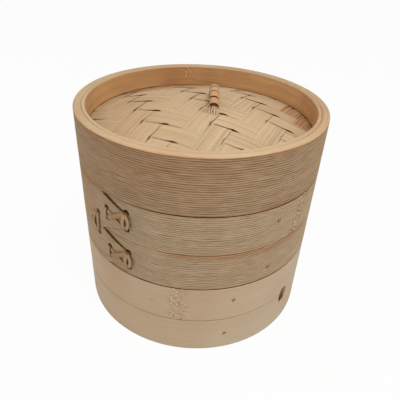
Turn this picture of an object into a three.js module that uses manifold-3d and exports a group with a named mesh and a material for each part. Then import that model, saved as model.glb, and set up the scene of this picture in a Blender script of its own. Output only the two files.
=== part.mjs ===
// A round bamboo steamer: two stacking tiers and a lid with a woven dome.
// Millimetres, +Z up. The origin is the centre of the lower tier's foot.
// An azimuth is in degrees from the front (-Y) towards the right (+X).

import * as THREE from 'three';
import { mergeVertices } from 'three/addons/utils/BufferGeometryUtils.js';
import Module from 'manifold-3d';

const wasm = await Module();
wasm.setup();

// Fits
const fitGap = 0.3;
const spigotHeight = 5;
const spigotHeadroom = 0.8;

// Walls, outside to inside
const wallRadius = 76;
const hoopThickness = 4.6;
const bandThickness = 1.9;

// Heights of the hoops, from the foot up
const lowerTierLowerHoop = 26;
const lowerTierUpperHoop = 26;
const upperTierLowerHoop = 24.8;
const upperTierUpperHoop = 25.7;
const lidHoop = 34;
const rimChamfer = 0.9;

// Lapped ends of a hoop: a tongue that narrows to a blunt tip over the other end
const tongueSeamEdge = 19;
const tongueFreeEdge = 16.5;
const tongueTipInset = 7.8;
const tongueTipHeight = 10.4;
const tongueStep = 0.9;
const tongueRunOut = 18;
const upperTierTipAngle = -30.7;
const lowerTierTipAngle = 150;
const lidTipAngle = 128;

// Crossbars of split bamboo on edge, and the floor slats on them
const barHeight = 11.4;
const barThickness = 4;
const barEdge = 1.6;
const barRise = 17.7;
const barSpacing = 36.5;
const barEndInset = 0.25;
const lowerTierBarAngle = 65.4;
const upperTierBarAngle = 90;
const slatThickness = 2.2;
const slatWidth = 12.5;
const slatGap = 6.2;

// Pegs with diamond heads
const pegWidth = 1.7;
const pegProud = 0.2;

// Places of the pegs: azimuth, and height above the foot of the tier or lid
const lowerTierPegs = [[18.7, 41.3], [15.9, 13], [-18.1, 38.6]];
const upperTierPegs = [[36.5, 40.7], [34.5, 8.4]];
const lidPegs = [[-100.3, 26.2], [174.6, 23.4]];

// Cane lacing
const caneWidth = 1.5;
const caneHoleRadius = 1.6;
const canePocket = 1.7;
const caneCrossLift = 1.5;
const crossStitchSpan = 14.3;
const crossStitchFarColumn = 1;
const crossStitchTall = 11.2;
const crossStitchShort = 6.6;
const crossStitchBulge = 3.2;
const loopStitchOffset = 23.3;
const loopStitchUp = 8.9;
const loopStitchDown = 6.3;
const loopStitchBulge = 6.4;

// Lid panel, ribs and handle
const panelRise = 20.2;
const panelThickness = 2.4;
const domeRise = 12.5;
const domeMargin = 0.8;
const ribWidth = 8;
const ribThickness = 2.4;
const handleOffset = 7;
const handleCentre = -0.6;
const handleHalfSpan = 16;
const handleArch = 8.9;
const coreRadius = 1.6;
const clenchRadius = 2.7;
const clenchHeight = 1.6;
const windingPitch = 4.6;
const windingTurns = 5.5;
const windingThickness = 0.85;
const windingGap = 0.6;
const windingBend = 1;

// Facets
const wallFacets = 48;
const holeFacets = 8;
const coreFacets = 6;
const coreSteps = 20;
const domeSteps = 5;
const strandSteps = 6;
const barCurveSteps = 4;
const slatEndSteps = 4;
const ribSteps = 12;
const loopSteps = 24;
const gapSteps = 8;
const mergeTolerance = 1e-4;
const sameAzimuth = 1e-9;
const fullTurn = 360;
const reach = 200;

// Sizes worked out from the ones above
const seatGap = fitGap / 2;
const hoopInner = wallRadius - hoopThickness;
const bandOuter = hoopInner - fitGap;
const bandInner = bandOuter - bandThickness;
const slatReach = bandOuter - seatGap;
const lowerTierHeight = lowerTierLowerHoop + lowerTierUpperHoop;
const upperTierHeight = upperTierLowerHoop + upperTierUpperHoop;
const ringFoot = spigotHeight + spigotHeadroom;
const floorUnderside = barRise + barHeight + fitGap;
const floorTop = floorUnderside + slatThickness;

const finishes = {
  brownBamboo: new THREE.MeshStandardMaterial({ color: 0xb08d66, roughness: 0.62, metalness: 0 }),
  paleBamboo: new THREE.MeshStandardMaterial({ color: 0xc8ae86, roughness: 0.58, metalness: 0 }),
  innerBamboo: new THREE.MeshStandardMaterial({ color: 0xbb8c5e, roughness: 0.55, metalness: 0 }),
  wovenBamboo: new THREE.MeshStandardMaterial({ color: 0xcfb285, roughness: 0.6, metalness: 0 }),
  slatBamboo: new THREE.MeshStandardMaterial({ color: 0xd2b684, roughness: 0.6, metalness: 0 }),
  barBamboo: new THREE.MeshStandardMaterial({ color: 0xa06c42, roughness: 0.65, metalness: 0 }),
  peg: new THREE.MeshStandardMaterial({ color: 0x8c6238, roughness: 0.65, metalness: 0 }),
  cane: new THREE.MeshStandardMaterial({ color: 0xc29a66, roughness: 0.5, metalness: 0 }),
};

// Meshes, solids and back

function closedMesh(geometry) {
  const bare = new THREE.BufferGeometry();
  bare.setAttribute('position', geometry.getAttribute('position').clone());
  if (geometry.index) bare.setIndex(geometry.index.clone());
  const merged = mergeVertices(bare, mergeTolerance);
  const corners = merged.index.array;
  const kept = [];
  for (let i = 0; i < corners.length; i += 3) {
    const [a, b, c] = [corners[i], corners[i + 1], corners[i + 2]];
    if (a !== b && b !== c && c !== a) kept.push(a, b, c);
  }
  merged.setIndex(kept);
  return facingOut(merged);
}

function enclosedVolume(geometry) {
  const place = geometry.getAttribute('position');
  const corners = geometry.index.array;
  const [a, b, c] = [new THREE.Vector3(), new THREE.Vector3(), new THREE.Vector3()];
  let volume = 0;
  for (let i = 0; i < corners.length; i += 3) {
    a.fromBufferAttribute(place, corners[i]);
    b.fromBufferAttribute(place, corners[i + 1]);
    c.fromBufferAttribute(place, corners[i + 2]);
    volume += a.dot(b.cross(c)) / 6;
  }
  return volume;
}

function facingOut(geometry) {
  if (enclosedVolume(geometry) < 0) geometry.setIndex(Array.from(geometry.index.array).reverse());
  return geometry;
}

function solidOf(geometry) {
  const mesh = closedMesh(geometry);
  return new wasm.Manifold(new wasm.Mesh({
    numProp: 3,
    vertProperties: new Float32Array(mesh.getAttribute('position').array),
    triVerts: new Uint32Array(mesh.index.array),
  }));
}

function geometryOf(solid) {
  const mesh = solid.getMesh();
  const geometry = new THREE.BufferGeometry();
  geometry.setAttribute('position', new THREE.BufferAttribute(mesh.vertProperties, 3));
  geometry.setIndex(new THREE.BufferAttribute(mesh.triVerts, 1));
  const faceted = geometry.toNonIndexed();
  faceted.computeVertexNormals();
  return faceted;
}

function cut(geometry, cutters) {
  return geometryOf(cutters.reduce((solid, cutter) => solid.subtract(solidOf(cutter)), solidOf(geometry)));
}

function joined(geometries) {
  return geometryOf(geometries.map(solidOf).reduce((solid, other) => solid.add(other)));
}

function piece(name, geometry, material) {
  const mesh = new THREE.Mesh(geometry, material);
  mesh.name = name;
  return mesh;
}

// Places on the wall

const { degToRad, radToDeg } = THREE.MathUtils;

function onWall(azimuth, radius, z) {
  const angle = degToRad(azimuth);
  return new THREE.Vector3(radius * Math.sin(angle), -radius * Math.cos(angle), z);
}

// The azimuth step that a length along the outside of the wall makes
function turnOf(arc) {
  return radToDeg(arc / wallRadius);
}

// Takes a geometry made at the front, x to the right and -y outwards, round to an azimuth
function atAzimuth(geometry, azimuth, radius, z) {
  return geometry.translate(0, -radius, z).rotateZ(degToRad(azimuth));
}

// A skin over a row of sections with as many points each; an open row gets flat ends
function loft(rings, closed) {
  const count = rings[0].length;
  const index = [];
  const bays = closed ? rings.length : rings.length - 1;
  for (let i = 0; i < bays; i += 1) {
    const here = i * count;
    const next = ((i + 1) % rings.length) * count;
    for (let j = 0; j < count; j += 1) {
      const k = (j + 1) % count;
      index.push(here + j, next + j, next + k, here + j, next + k, here + k);
    }
  }
  if (!closed) {
    const last = (rings.length - 1) * count;
    for (let j = 1; j < count - 1; j += 1) {
      index.push(0, j, j + 1, last, last + j + 1, last + j);
    }
  }
  const geometry = new THREE.BufferGeometry();
  const places = rings.flat().flatMap((point) => [point.x, point.y, point.z]);
  geometry.setAttribute('position', new THREE.Float32BufferAttribute(places, 3));
  geometry.setIndex(index);
  return closedMesh(geometry);
}

function turned(profile) {
  const points = profile.map(([radius, z]) => new THREE.Vector2(radius, z));
  return new THREE.LatheGeometry(points, wallFacets).rotateX(Math.PI / 2);
}

// A plain ring with a rectangular section
function ring(inner, outer, bottom, top) {
  return turned([[inner, bottom], [outer, bottom], [outer, top], [inner, top], [inner, bottom]]);
}

// Hoops

// Degrees from one azimuth round to another, at most half a turn either way
function turnBetween(from, to) {
  return THREE.MathUtils.euclideanModulo(to - from + fullTurn / 2, fullTurn) - fullTurn / 2;
}

// A hoop from bottom to top whose lapped end is a tongue, running towards higher azimuths and ending
// at joint.tip; joint.low and joint.high are the arcs of its two edges, joint.tipLow and
// joint.tipHigh the heights of the tip's corners
function hoop(bottom, top, joint) {
  const lowRoot = -turnOf(joint.low);
  const highRoot = -turnOf(joint.high);
  const root = Math.min(lowRoot, highRoot);
  const runOut = turnOf(tongueRunOut);
  const facet = fullTurn / wallFacets;

  function section(azimuth, pastTip) {
    const offset = turnBetween(joint.tip, azimuth);
    const onTongue = offset >= root && (pastTip ? offset < 0 : offset <= 0);
    let [low, high, raised, lapped] = [bottom, top, wallRadius, wallRadius];
    if (onTongue) {
      lapped = wallRadius - tongueStep;
      low = THREE.MathUtils.mapLinear(Math.max(offset, lowRoot), lowRoot, 0, bottom, joint.tipLow);
      high = THREE.MathUtils.mapLinear(Math.max(offset, highRoot), highRoot, 0, top, joint.tipHigh);
    } else if (offset >= 0 && offset < runOut) {
      lapped = wallRadius - tongueStep * (1 - offset / runOut);
      [low, high, raised] = [joint.tipLow, joint.tipHigh, lapped];
    }
    const profile = [
      [hoopInner, bottom], [lapped, bottom], [lapped, low], [raised, low],
      [raised, high], [lapped, high], [lapped, top], [hoopInner, top],
    ];
    return profile.map(([radius, z]) => onWall(azimuth, radius, z));
  }

  // Even stations round the wall, without those that crowd a corner of the tongue, and the corners
  const leastStep = facet / 8;
  const corners = [lowRoot, highRoot, 0, runOut].map((offset) => joint.tip + offset);
  const isClear = (azimuth) => (
    corners.every((corner) => Math.abs(turnBetween(corner, azimuth)) > leastStep)
  );
  const even = Array.from({ length: wallFacets }, (_, i) => i * facet).filter(isClear);
  const stations = [...even, ...corners].map((azimuth) => THREE.MathUtils.euclideanModulo(azimuth, fullTurn));
  stations.sort((a, b) => a - b);
  const isTip = (azimuth) => Math.abs(turnBetween(joint.tip, azimuth)) < sameAzimuth;
  const sections = stations.flatMap((azimuth) => (
    isTip(azimuth) ? [section(joint.tip, false), section(joint.tip, true)] : [section(azimuth, true)]
  ));
  return loft(sections, true);
}

// Pegs

function pegSolid(width, inner, outer) {
  const geometry = new THREE.BoxGeometry(width, outer - inner, width);
  return geometry.rotateY(Math.PI / 4).translate(0, (outer - inner) / 2, 0);
}

function pegHole(azimuth, z) {
  const past = pegProud + fitGap;
  const cutter = pegSolid(pegWidth + 2 * fitGap, bandInner - past, wallRadius + past);
  return atAzimuth(cutter, azimuth, wallRadius + past, z);
}

// Outer end proud of the hoop, inner end flush with the band
function peg(name, azimuth, z) {
  const mesh = piece(name, pegSolid(pegWidth, bandInner, wallRadius + pegProud), finishes.peg);
  mesh.position.copy(onWall(azimuth, wallRadius + pegProud, z));
  mesh.rotation.z = degToRad(azimuth);
  return mesh;
}

// Lacing

const strandRadius = wallRadius + fitGap + caneWidth / 2;
const pocketFloor = hoopInner + canePocket;

// A strand over the outside of the wall from one hole to another, pushed aside by bulge and
// lifted off the wall by lift at its middle
function strand(from, to, bulge, lift) {
  const points = [];
  for (let i = 0; i <= strandSteps; i += 1) {
    const along = i / strandSteps;
    const swell = Math.sin(Math.PI * along);
    const azimuth = THREE.MathUtils.lerp(from[0], to[0], along) + turnOf(bulge * swell);
    points.push(onWall(azimuth, strandRadius + lift * swell, THREE.MathUtils.lerp(from[1], to[1], along)));
  }
  const half = caneWidth / 2;
  const section = new THREE.Shape([[-1, -1], [1, -1], [1, 1], [-1, 1]].map(
    ([u, v]) => new THREE.Vector2(u * half, v * half),
  ));
  const extrudePath = new THREE.CatmullRomCurve3(points);
  return new THREE.ExtrudeGeometry(section, { steps: strandSteps, extrudePath });
}

// The bundle of cane in one hole, from the pocket behind the wall to the strands in front
function holeFill([azimuth, z]) {
  const [inner, outer] = [hoopInner + fitGap, strandRadius + caneWidth / 3];
  const fill = new THREE.BoxGeometry(caneWidth, outer - inner, caneWidth);
  return atAzimuth(fill, azimuth, (inner + outer) / 2, z);
}

function column([azimuthA, zA], [azimuthB, zB], width, inner, outer, past) {
  const tall = Math.abs(zB - zA) + 2 * past;
  const geometry = new THREE.BoxGeometry(width, outer - inner, tall);
  return atAzimuth(geometry, (azimuthA + azimuthB) / 2, (inner + outer) / 2, (zA + zB) / 2);
}

function backStrand(a, b) {
  return column(a, b, caneWidth, hoopInner + fitGap, pocketFloor - fitGap, caneWidth / 2);
}

// What a stitch takes out of the hoops: its holes, and a pocket behind each upright pair
function stitchCutters({ pairs }) {
  const bore = (hole) => atAzimuth(
    new THREE.CylinderGeometry(caneHoleRadius, caneHoleRadius, hoopThickness * 2, holeFacets),
    hole[0], pocketFloor + hoopThickness - canePocket / 2, hole[1],
  );
  const pocket = ([a, b]) => column(
    a, b, 2 * caneHoleRadius, hoopInner - canePocket, pocketFloor, caneHoleRadius,
  );
  return [...pairs.flat().map(bore), ...pairs.map(pocket)];
}

function stitch(name, { pairs, strands }) {
  const front = strands.map(({ from, to, bulge, lift }) => strand(from, to, bulge, lift));
  const fills = pairs.flat().map(holeFill);
  const back = pairs.map(([a, b]) => backStrand(a, b));
  return piece(name, joined([...fills, ...back, ...front]), finishes.cane);
}

// Two strands crossing a tongue's tip from a short pair of holes to a tall one, and two more
// beside the tip, one straight and one bowed away from it
function crossStitch(tip, middle) {
  const near = tip - turnOf(crossStitchSpan - crossStitchFarColumn);
  const far = tip + turnOf(crossStitchFarColumn);
  const nearTop = [near, middle + crossStitchShort / 2];
  const nearLow = [near, middle - crossStitchShort / 2];
  const farTop = [far, middle + crossStitchTall / 2];
  const farLow = [far, middle - crossStitchTall / 2];
  return {
    pairs: [[nearLow, nearTop], [farLow, farTop]],
    strands: [
      { from: nearTop, to: farLow, bulge: 0, lift: 0 },
      { from: nearLow, to: farTop, bulge: 0, lift: caneCrossLift },
      { from: farLow, to: farTop, bulge: 0, lift: 0 },
      { from: farLow, to: farTop, bulge: crossStitchBulge, lift: 0 },
    ],
  };
}

// One straight and one bowed strand that tie two hoops together across their seam
function loopStitch(tip, seam) {
  const azimuth = tip - turnOf(loopStitchOffset);
  const top = [azimuth, seam + loopStitchUp];
  const low = [azimuth, seam - loopStitchDown];
  return {
    pairs: [[low, top]],
    strands: [
      { from: low, to: top, bulge: 0, lift: 0 },
      { from: low, to: top, bulge: -loopStitchBulge, lift: 0 },
    ],
  };
}

// Crossbars and slats

// Section of a crossbar: a lens on edge with blunt edges
function barSection(grow) {
  const edge = barEdge / 2 + grow;
  const tall = barHeight / 2 + grow;
  const belly = barThickness + 2 * grow - edge;
  const shape = new THREE.Shape();
  shape.moveTo(-edge, -tall);
  shape.lineTo(edge, -tall);
  shape.quadraticCurveTo(belly, 0, edge, tall);
  shape.lineTo(-edge, tall);
  shape.quadraticCurveTo(-belly, 0, -edge, -tall);
  return shape;
}

// A bar lies along +Y of its tier's floor group, beside the middle by offset
function barRod(offset, grow) {
  const options = { depth: 2 * reach, bevelEnabled: false, curveSegments: barCurveSteps };
  const rod = new THREE.ExtrudeGeometry(barSection(grow), options);
  return rod.rotateX(Math.PI / 2).translate(offset, reach, barRise + barHeight / 2);
}

function crossbar(name, offset) {
  const end = wallRadius - barEndInset;
  const round = turned([[0, 0], [end, 0], [end, reach], [0, reach]]);
  const rod = solidOf(barRod(offset, 0)).intersect(solidOf(round));
  return piece(name, geometryOf(rod), finishes.barBamboo);
}

// A slat lies along X, its ends round with the wall
function slat(name, middle) {
  const count = slatEndSteps + 1;
  const across = Array.from({ length: count }, (_, i) => middle + slatWidth * (i / slatEndSteps - 0.5));
  const right = across.map((y) => new THREE.Vector2(Math.sqrt(slatReach ** 2 - y ** 2), y));
  const left = right.map(({ x, y }) => new THREE.Vector2(-x, y)).reverse();
  const outline = new THREE.Shape([...right, ...left]);
  const geometry = new THREE.ExtrudeGeometry(outline, { depth: slatThickness, bevelEnabled: false });
  return piece(name, geometry.translate(0, 0, floorUnderside), finishes.slatBamboo);
}

// Tiers

function tier({ name, lowerHoop, upperHoop, tip, barAzimuth, pegs, hoopFinish, isFoot }) {
  const group = new THREE.Group();
  const height = lowerHoop + upperHoop;
  const foot = isFoot ? 0 : seatGap;
  const barOffsets = [-barSpacing / 2, barSpacing / 2];
  const barAngle = degToRad(barAzimuth);

  const upperStitch = crossStitch(tip, lowerHoop + tongueTipInset + tongueTipHeight / 2);
  const lowerStitch = crossStitch(tip, lowerHoop - tongueTipInset - tongueTipHeight / 2);
  const seamStitch = loopStitch(tip, lowerHoop);
  const stitches = { lacing_upper: upperStitch, lacing_seam: seamStitch, lacing_lower: lowerStitch };
  const stitchCuts = () => Object.values(stitches).flatMap(stitchCutters);
  const pegCuts = () => pegs.map(([azimuth, z]) => pegHole(azimuth, z));
  const barCuts = () => barOffsets.map((offset) => barRod(offset, fitGap).rotateZ(barAngle));

  const upperJoint = {
    tip,
    low: tongueSeamEdge,
    high: tongueFreeEdge,
    tipLow: lowerHoop + tongueTipInset,
    tipHigh: lowerHoop + tongueTipInset + tongueTipHeight,
  };
  const lowerJoint = {
    tip,
    low: tongueFreeEdge,
    high: tongueSeamEdge,
    tipLow: lowerHoop - tongueTipInset - tongueTipHeight,
    tipHigh: lowerHoop - tongueTipInset,
  };
  const cuts = () => [...stitchCuts(), ...pegCuts(), ...barCuts()];
  const upper = cut(hoop(lowerHoop + seatGap, height - seatGap, upperJoint), cuts());
  const lower = cut(hoop(foot, lowerHoop - seatGap, lowerJoint), cuts());
  const band = cut(ring(bandInner, bandOuter, floorTop + fitGap, height + spigotHeight), pegCuts());
  const baseRing = ring(bandInner, bandOuter, ringFoot, floorUnderside - fitGap);
  const base = cut(baseRing, [...pegCuts(), ...barCuts()]);
  group.add(piece(`${name}_upper_hoop`, upper, finishes[hoopFinish]));
  group.add(piece(`${name}_lower_hoop`, lower, finishes[hoopFinish]));
  group.add(piece(`${name}_inner_band`, band, finishes.innerBamboo));
  group.add(piece(`${name}_base_ring`, base, finishes.innerBamboo));

  const floor = new THREE.Group();
  floor.rotation.z = barAngle;
  barOffsets.forEach((offset, i) => floor.add(crossbar(`${name}_crossbar_${i + 1}`, offset)));
  const pitch = slatWidth + slatGap;
  const perSide = Math.floor((bandInner - slatWidth / 2) / pitch);
  for (let i = -perSide; i <= perSide; i += 1) {
    floor.add(slat(`${name}_slat_${i + perSide + 1}`, i * pitch));
  }
  group.add(floor);

  pegs.forEach(([azimuth, z], i) => group.add(peg(`${name}_peg_${i + 1}`, azimuth, z)));
  Object.entries(stitches).forEach(([part, plan]) => group.add(stitch(`${name}_${part}`, plan)));
  return group;
}

// Lid

const panelUnderside = panelRise - panelThickness;
const domeRadius = bandInner - domeMargin;

// Height of the dome above the panel's flat edge
function domeAt(radius) {
  return domeRise * (1 - Math.min(radius / domeRadius, 1) ** 2);
}

function wovenPanel(cutters) {
  const radii = Array.from({ length: domeSteps + 1 }, (_, i) => (domeRadius * i) / domeSteps);
  const top = radii.map((radius) => [radius, panelRise + domeAt(radius)]);
  const under = radii.map((radius) => [radius, panelUnderside + domeAt(radius)]).reverse();
  const edge = [[bandOuter, panelRise], [bandOuter, panelUnderside]];
  return cut(turned([...top, ...edge, ...under]), cutters);
}

// Top of a rib: it follows the underside of the dome at whichever of its long edges lies lower
function ribTop(x, middle) {
  return panelUnderside - fitGap + domeAt(Math.hypot(x, Math.abs(middle) + ribWidth / 2));
}

function ribEnd(middle) {
  return Math.sqrt((bandOuter - fitGap) ** 2 - (Math.abs(middle) + ribWidth / 2) ** 2);
}

// A rib bent under the dome, flat at its ends where the panel is flat; grow widens it to the slot
// that its end sits in
function ribBody(middle, width, grow) {
  const end = ribEnd(middle) + grow;
  const bend = Math.sqrt(domeRadius ** 2 - (Math.abs(middle) + ribWidth / 2) ** 2);
  const arched = Array.from({ length: ribSteps + 1 }, (_, i) => bend * (1 - (2 * i) / ribSteps));
  const across = [end, ...arched, -end];
  const top = across.map((x) => new THREE.Vector2(x, ribTop(x, middle) + grow));
  const low = across.map((x) => new THREE.Vector2(x, ribTop(x, middle) - ribThickness - grow)).reverse();
  const outline = new THREE.Shape([...top, ...low]);
  const geometry = new THREE.ExtrudeGeometry(outline, { depth: width, bevelEnabled: false });
  return geometry.rotateX(Math.PI / 2).translate(0, middle + width / 2, 0);
}

// The bent cane loop of the handle, in the plane x = handleOffset
const handleFeet = [handleCentre - handleHalfSpan, handleCentre + handleHalfSpan];
const footHeight = panelRise + domeAt(Math.hypot(handleOffset, handleHalfSpan));
const legBottom = ribTop(handleOffset, handleFeet[0]) - ribThickness - fitGap - clenchHeight;
const archStations = [-1, -0.75, -0.4, 0, 0.4, 0.75, 1];
const archPoints = archStations.map((along) => new THREE.Vector3(
  handleOffset,
  handleCentre + along * handleHalfSpan,
  footHeight + handleArch * (1 - along ** 2),
));
const legPoints = handleFeet.map((y) => new THREE.Vector3(handleOffset, y, legBottom));
const handleCurve = new THREE.CatmullRomCurve3([legPoints[0], ...archPoints, legPoints[1]]);

function legHoles() {
  return handleFeet.map((y) => {
    const radius = coreRadius + 2 * fitGap;
    const bore = new THREE.CylinderGeometry(radius, radius, reach, holeFacets).rotateX(Math.PI / 2);
    return bore.translate(handleOffset, y, 0);
  });
}

function handleCore() {
  const round = new THREE.Shape().absarc(0, 0, coreRadius, 0, 2 * Math.PI, false);
  const section = new THREE.Shape(round.getPoints(coreFacets).slice(0, -1));
  const loop = new THREE.ExtrudeGeometry(section, { steps: coreSteps, extrudePath: handleCurve });
  const clenches = legPoints.map(({ x, y, z }) => {
    const knob = new THREE.CylinderGeometry(clenchRadius, clenchRadius, clenchHeight, holeFacets);
    return knob.rotateX(Math.PI / 2).translate(x, y, z + clenchHeight / 2);
  });
  return joined([loop, ...clenches]);
}

// Split cane wound round the handle core in one run. Its width is taken along the core, so that it is
// narrower inside the bend than outside it. Both ends leave the side of the core and stand square
// on the panel.
const sideways = new THREE.Vector3(1, 0, 0);
const down = new THREE.Vector3(0, 0, -1);
const handleLength = handleCurve.getLength();
const windingRadius = coreRadius + fitGap + windingThickness / 2;
const windingWidth = windingPitch - windingGap;
const windingStart = (handleLength - windingPitch * windingTurns) / 2;

function roundCore(distance, angle, radius) {
  const along = THREE.MathUtils.clamp(distance / handleLength, 0, 1);
  const outward = new THREE.Vector3().crossVectors(sideways, handleCurve.getTangentAt(along));
  return handleCurve.getPointAt(along)
    .addScaledVector(sideways, radius * Math.cos(angle))
    .addScaledVector(outward, radius * Math.sin(angle));
}

// Section of the split cane, flat with bevelled edges, in parts of its width and thickness
const windingSection = [[-0.5, 0], [-0.4, -0.5], [0.4, -0.5], [0.5, 0], [0.4, 0.5], [-0.4, 0.5]].map(
  ([across, through]) => [across * windingWidth, through * windingThickness],
);

function windingRing(step) {
  const angle = (2 * Math.PI * step) / loopSteps;
  const distance = windingStart + (windingPitch * step) / loopSteps;
  return windingSection.map(([across, through]) => (
    roundCore(distance + across, angle, windingRadius + through)
  ));
}

// Two sections that carry an end of the winding from the side of the core down to the panel;
// side is 1 on the right of the core and -1 on its left
function windingEnd(step, side) {
  const distance = windingStart + (windingPitch * step) / loopSteps;
  const angle = side > 0 ? 0 : Math.PI;
  const start = roundCore(distance, angle, windingRadius);
  const bent = start.clone().addScaledVector(down, windingBend);
  const nearest = Math.hypot(start.x, Math.abs(start.y) - windingWidth / 2);
  const seat = panelRise + domeAt(nearest) + fitGap;
  const level = ([across, through], z) => new THREE.Vector3(bent.x + side * through, bent.y + across, z);
  return [bent.z, seat].map((z) => windingSection.map((point) => level(point, z)));
}

function handleWinding() {
  const last = Math.round(windingTurns * loopSteps);
  const coils = Array.from({ length: last + 1 }, (_, step) => windingRing(step));
  const firstEnd = windingEnd(0, 1).reverse();
  const lastEnd = windingEnd(last, -1);
  reportLeastGap(coils);
  return loft([...firstEnd, ...coils, ...lastEnd], false);
}

// Least distance from a turn to the one after it, measured on points of both edges
function reportLeastGap(coils) {
  let least = Infinity;
  for (let i = 0; i + loopSteps < coils.length; i += 1) {
    const edge = coils[i];
    for (let j = i + loopSteps / 2; j < Math.min(i + 2 * loopSteps, coils.length - 1); j += 1) {
      for (let k = 0; k <= gapSteps; k += 1) {
        const facing = coils[j].map((point, n) => point.clone().lerp(coils[j + 1][n], k / gapSteps));
        edge.forEach((a) => facing.forEach((b) => {
          least = Math.min(least, a.distanceTo(b));
        }));
      }
    }
  }
  console.log(`least gap between turns of the handle winding: ${least.toFixed(2)} mm`);
}

function lid() {
  const group = new THREE.Group();
  const tipLow = (lidHoop - tongueTipHeight) / 2;
  const joint = {
    tip: lidTipAngle, low: tongueSeamEdge, high: tongueSeamEdge, tipLow, tipHigh: tipLow + tongueTipHeight,
  };
  const tipStitch = crossStitch(lidTipAngle, lidHoop / 2);
  const rootStitch = loopStitch(lidTipAngle, lidHoop / 2);
  const stitchCuts = [tipStitch, rootStitch].flatMap(stitchCutters);
  const pegCuts = () => lidPegs.map(([azimuth, z]) => pegHole(azimuth, z));
  const ribCuts = () => handleFeet.map((y) => ribBody(y, ribWidth + 2 * fitGap, fitGap));
  const outerEase = turned([
    [wallRadius - rimChamfer, lidHoop], [wallRadius, lidHoop - rimChamfer],
    [wallRadius + rimChamfer, lidHoop], [wallRadius, lidHoop + rimChamfer],
    [wallRadius - rimChamfer, lidHoop],
  ]);

  const outer = cut(hoop(seatGap, lidHoop, joint), [...stitchCuts, ...pegCuts(), outerEase]);
  const band = cut(ring(bandInner, bandOuter, panelRise + fitGap, lidHoop), pegCuts());
  const lower = cut(ring(bandInner, bandOuter, ringFoot, panelUnderside - fitGap), ribCuts());
  group.add(piece('lid_hoop', outer, finishes.brownBamboo));
  group.add(piece('lid_inner_band', band, finishes.innerBamboo));
  group.add(piece('lid_lower_ring', lower, finishes.innerBamboo));
  group.add(piece('lid_woven_panel', wovenPanel(legHoles()), finishes.wovenBamboo));
  handleFeet.forEach((y, i) => {
    group.add(piece(`lid_rib_${i + 1}`, cut(ribBody(y, ribWidth, 0), legHoles()), finishes.slatBamboo));
  });
  group.add(piece('handle_core', handleCore(), finishes.cane));
  group.add(piece('handle_winding', handleWinding(), finishes.cane));
  lidPegs.forEach(([azimuth, z], i) => group.add(peg(`lid_peg_${i + 1}`, azimuth, z)));
  group.add(stitch('lid_lacing_tip', tipStitch));
  group.add(stitch('lid_lacing_root', rootStitch));
  return group;
}

// The whole steamer

const steamer = new THREE.Group();

steamer.add(tier({
  name: 'lower_tier',
  lowerHoop: lowerTierLowerHoop,
  upperHoop: lowerTierUpperHoop,
  tip: lowerTierTipAngle,
  barAzimuth: lowerTierBarAngle,
  pegs: lowerTierPegs,
  hoopFinish: 'paleBamboo',
  isFoot: true,
}));

const upperTier = tier({
  name: 'upper_tier',
  lowerHoop: upperTierLowerHoop,
  upperHoop: upperTierUpperHoop,
  tip: upperTierTipAngle,
  barAzimuth: upperTierBarAngle,
  pegs: upperTierPegs,
  hoopFinish: 'brownBamboo',
  isFoot: false,
});
upperTier.position.z = lowerTierHeight;
steamer.add(upperTier);

const cover = lid();
cover.position.z = lowerTierHeight + upperTierHeight;
steamer.add(cover);

export default steamer;
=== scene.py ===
"""Fine surfaces, bamboo finishes, light and camera for a two-tier bamboo steamer.

Lengths in the shape functions are in millimetres, and become metres when a mesh is built. An azimuth
is in degrees from the front (-Y) towards the right (+X).
"""

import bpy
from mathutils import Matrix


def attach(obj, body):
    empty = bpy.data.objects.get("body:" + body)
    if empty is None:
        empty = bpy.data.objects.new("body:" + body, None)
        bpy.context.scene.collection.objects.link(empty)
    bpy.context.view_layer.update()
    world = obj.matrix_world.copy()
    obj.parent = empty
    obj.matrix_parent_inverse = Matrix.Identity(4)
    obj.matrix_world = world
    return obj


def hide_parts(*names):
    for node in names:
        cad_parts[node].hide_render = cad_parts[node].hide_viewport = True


bl_info = {
    "name": "Bamboo steamer",
    "version": (1, 0, 0),
    "blender": (4, 5, 0),
    "location": "3D View > Sidebar > Steamer",
    "description": "Fine surfaces, finishes, light and camera for a bamboo steamer with a woven lid",
    "category": "Add Mesh",
}

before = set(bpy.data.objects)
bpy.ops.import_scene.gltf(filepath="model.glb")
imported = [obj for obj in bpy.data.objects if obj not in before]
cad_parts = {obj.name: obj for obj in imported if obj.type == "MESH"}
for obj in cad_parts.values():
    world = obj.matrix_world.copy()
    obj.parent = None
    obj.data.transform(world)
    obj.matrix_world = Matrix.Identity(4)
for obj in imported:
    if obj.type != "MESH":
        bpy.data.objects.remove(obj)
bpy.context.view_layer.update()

import bpy
import numpy as np
from bpy.props import FloatProperty, FloatVectorProperty, PointerProperty
from mathutils import Matrix

MM = 0.001
UV_MM = 100.0  # millimetres of bamboo that one unit of the grain map spans

# Walls, outside to inside
WALL = 76.0
HOOP = 4.6
HOOP_INNER = WALL - HOOP
FIT = 0.3
BAND_OUTER = HOOP_INNER - FIT
BAND = 1.9
BAND_INNER = BAND_OUTER - BAND
RING_FOOT = 5.8
SPIGOT = 5.0

# Gaps at a hoop's edges: towards its own tier's other hoop, and towards the tier or lid next to it
SEAM_GAP = 0.05
STACK_GAP = 0.15

# Steps of the hoops' grids: up a sawn and a planed hoop, and round the wall with and without detail
SAWN_ROW = 0.24
PLANED_ROW = 0.36
FINE_STEP = 0.34
COARSE_STEP = 2.4

# Lapped ends of a hoop: the tongue's edges are drawn within TONGUE_REACH of its tip
TONGUE_SEAM_EDGE = 19.0
TONGUE_FREE_EDGE = 16.5
TONGUE_TIP_INSET = 7.8
TONGUE_TIP_HEIGHT = 10.4
TONGUE_RUN_OUT = 18.0
TONGUE_REACH = 25.0

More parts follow.
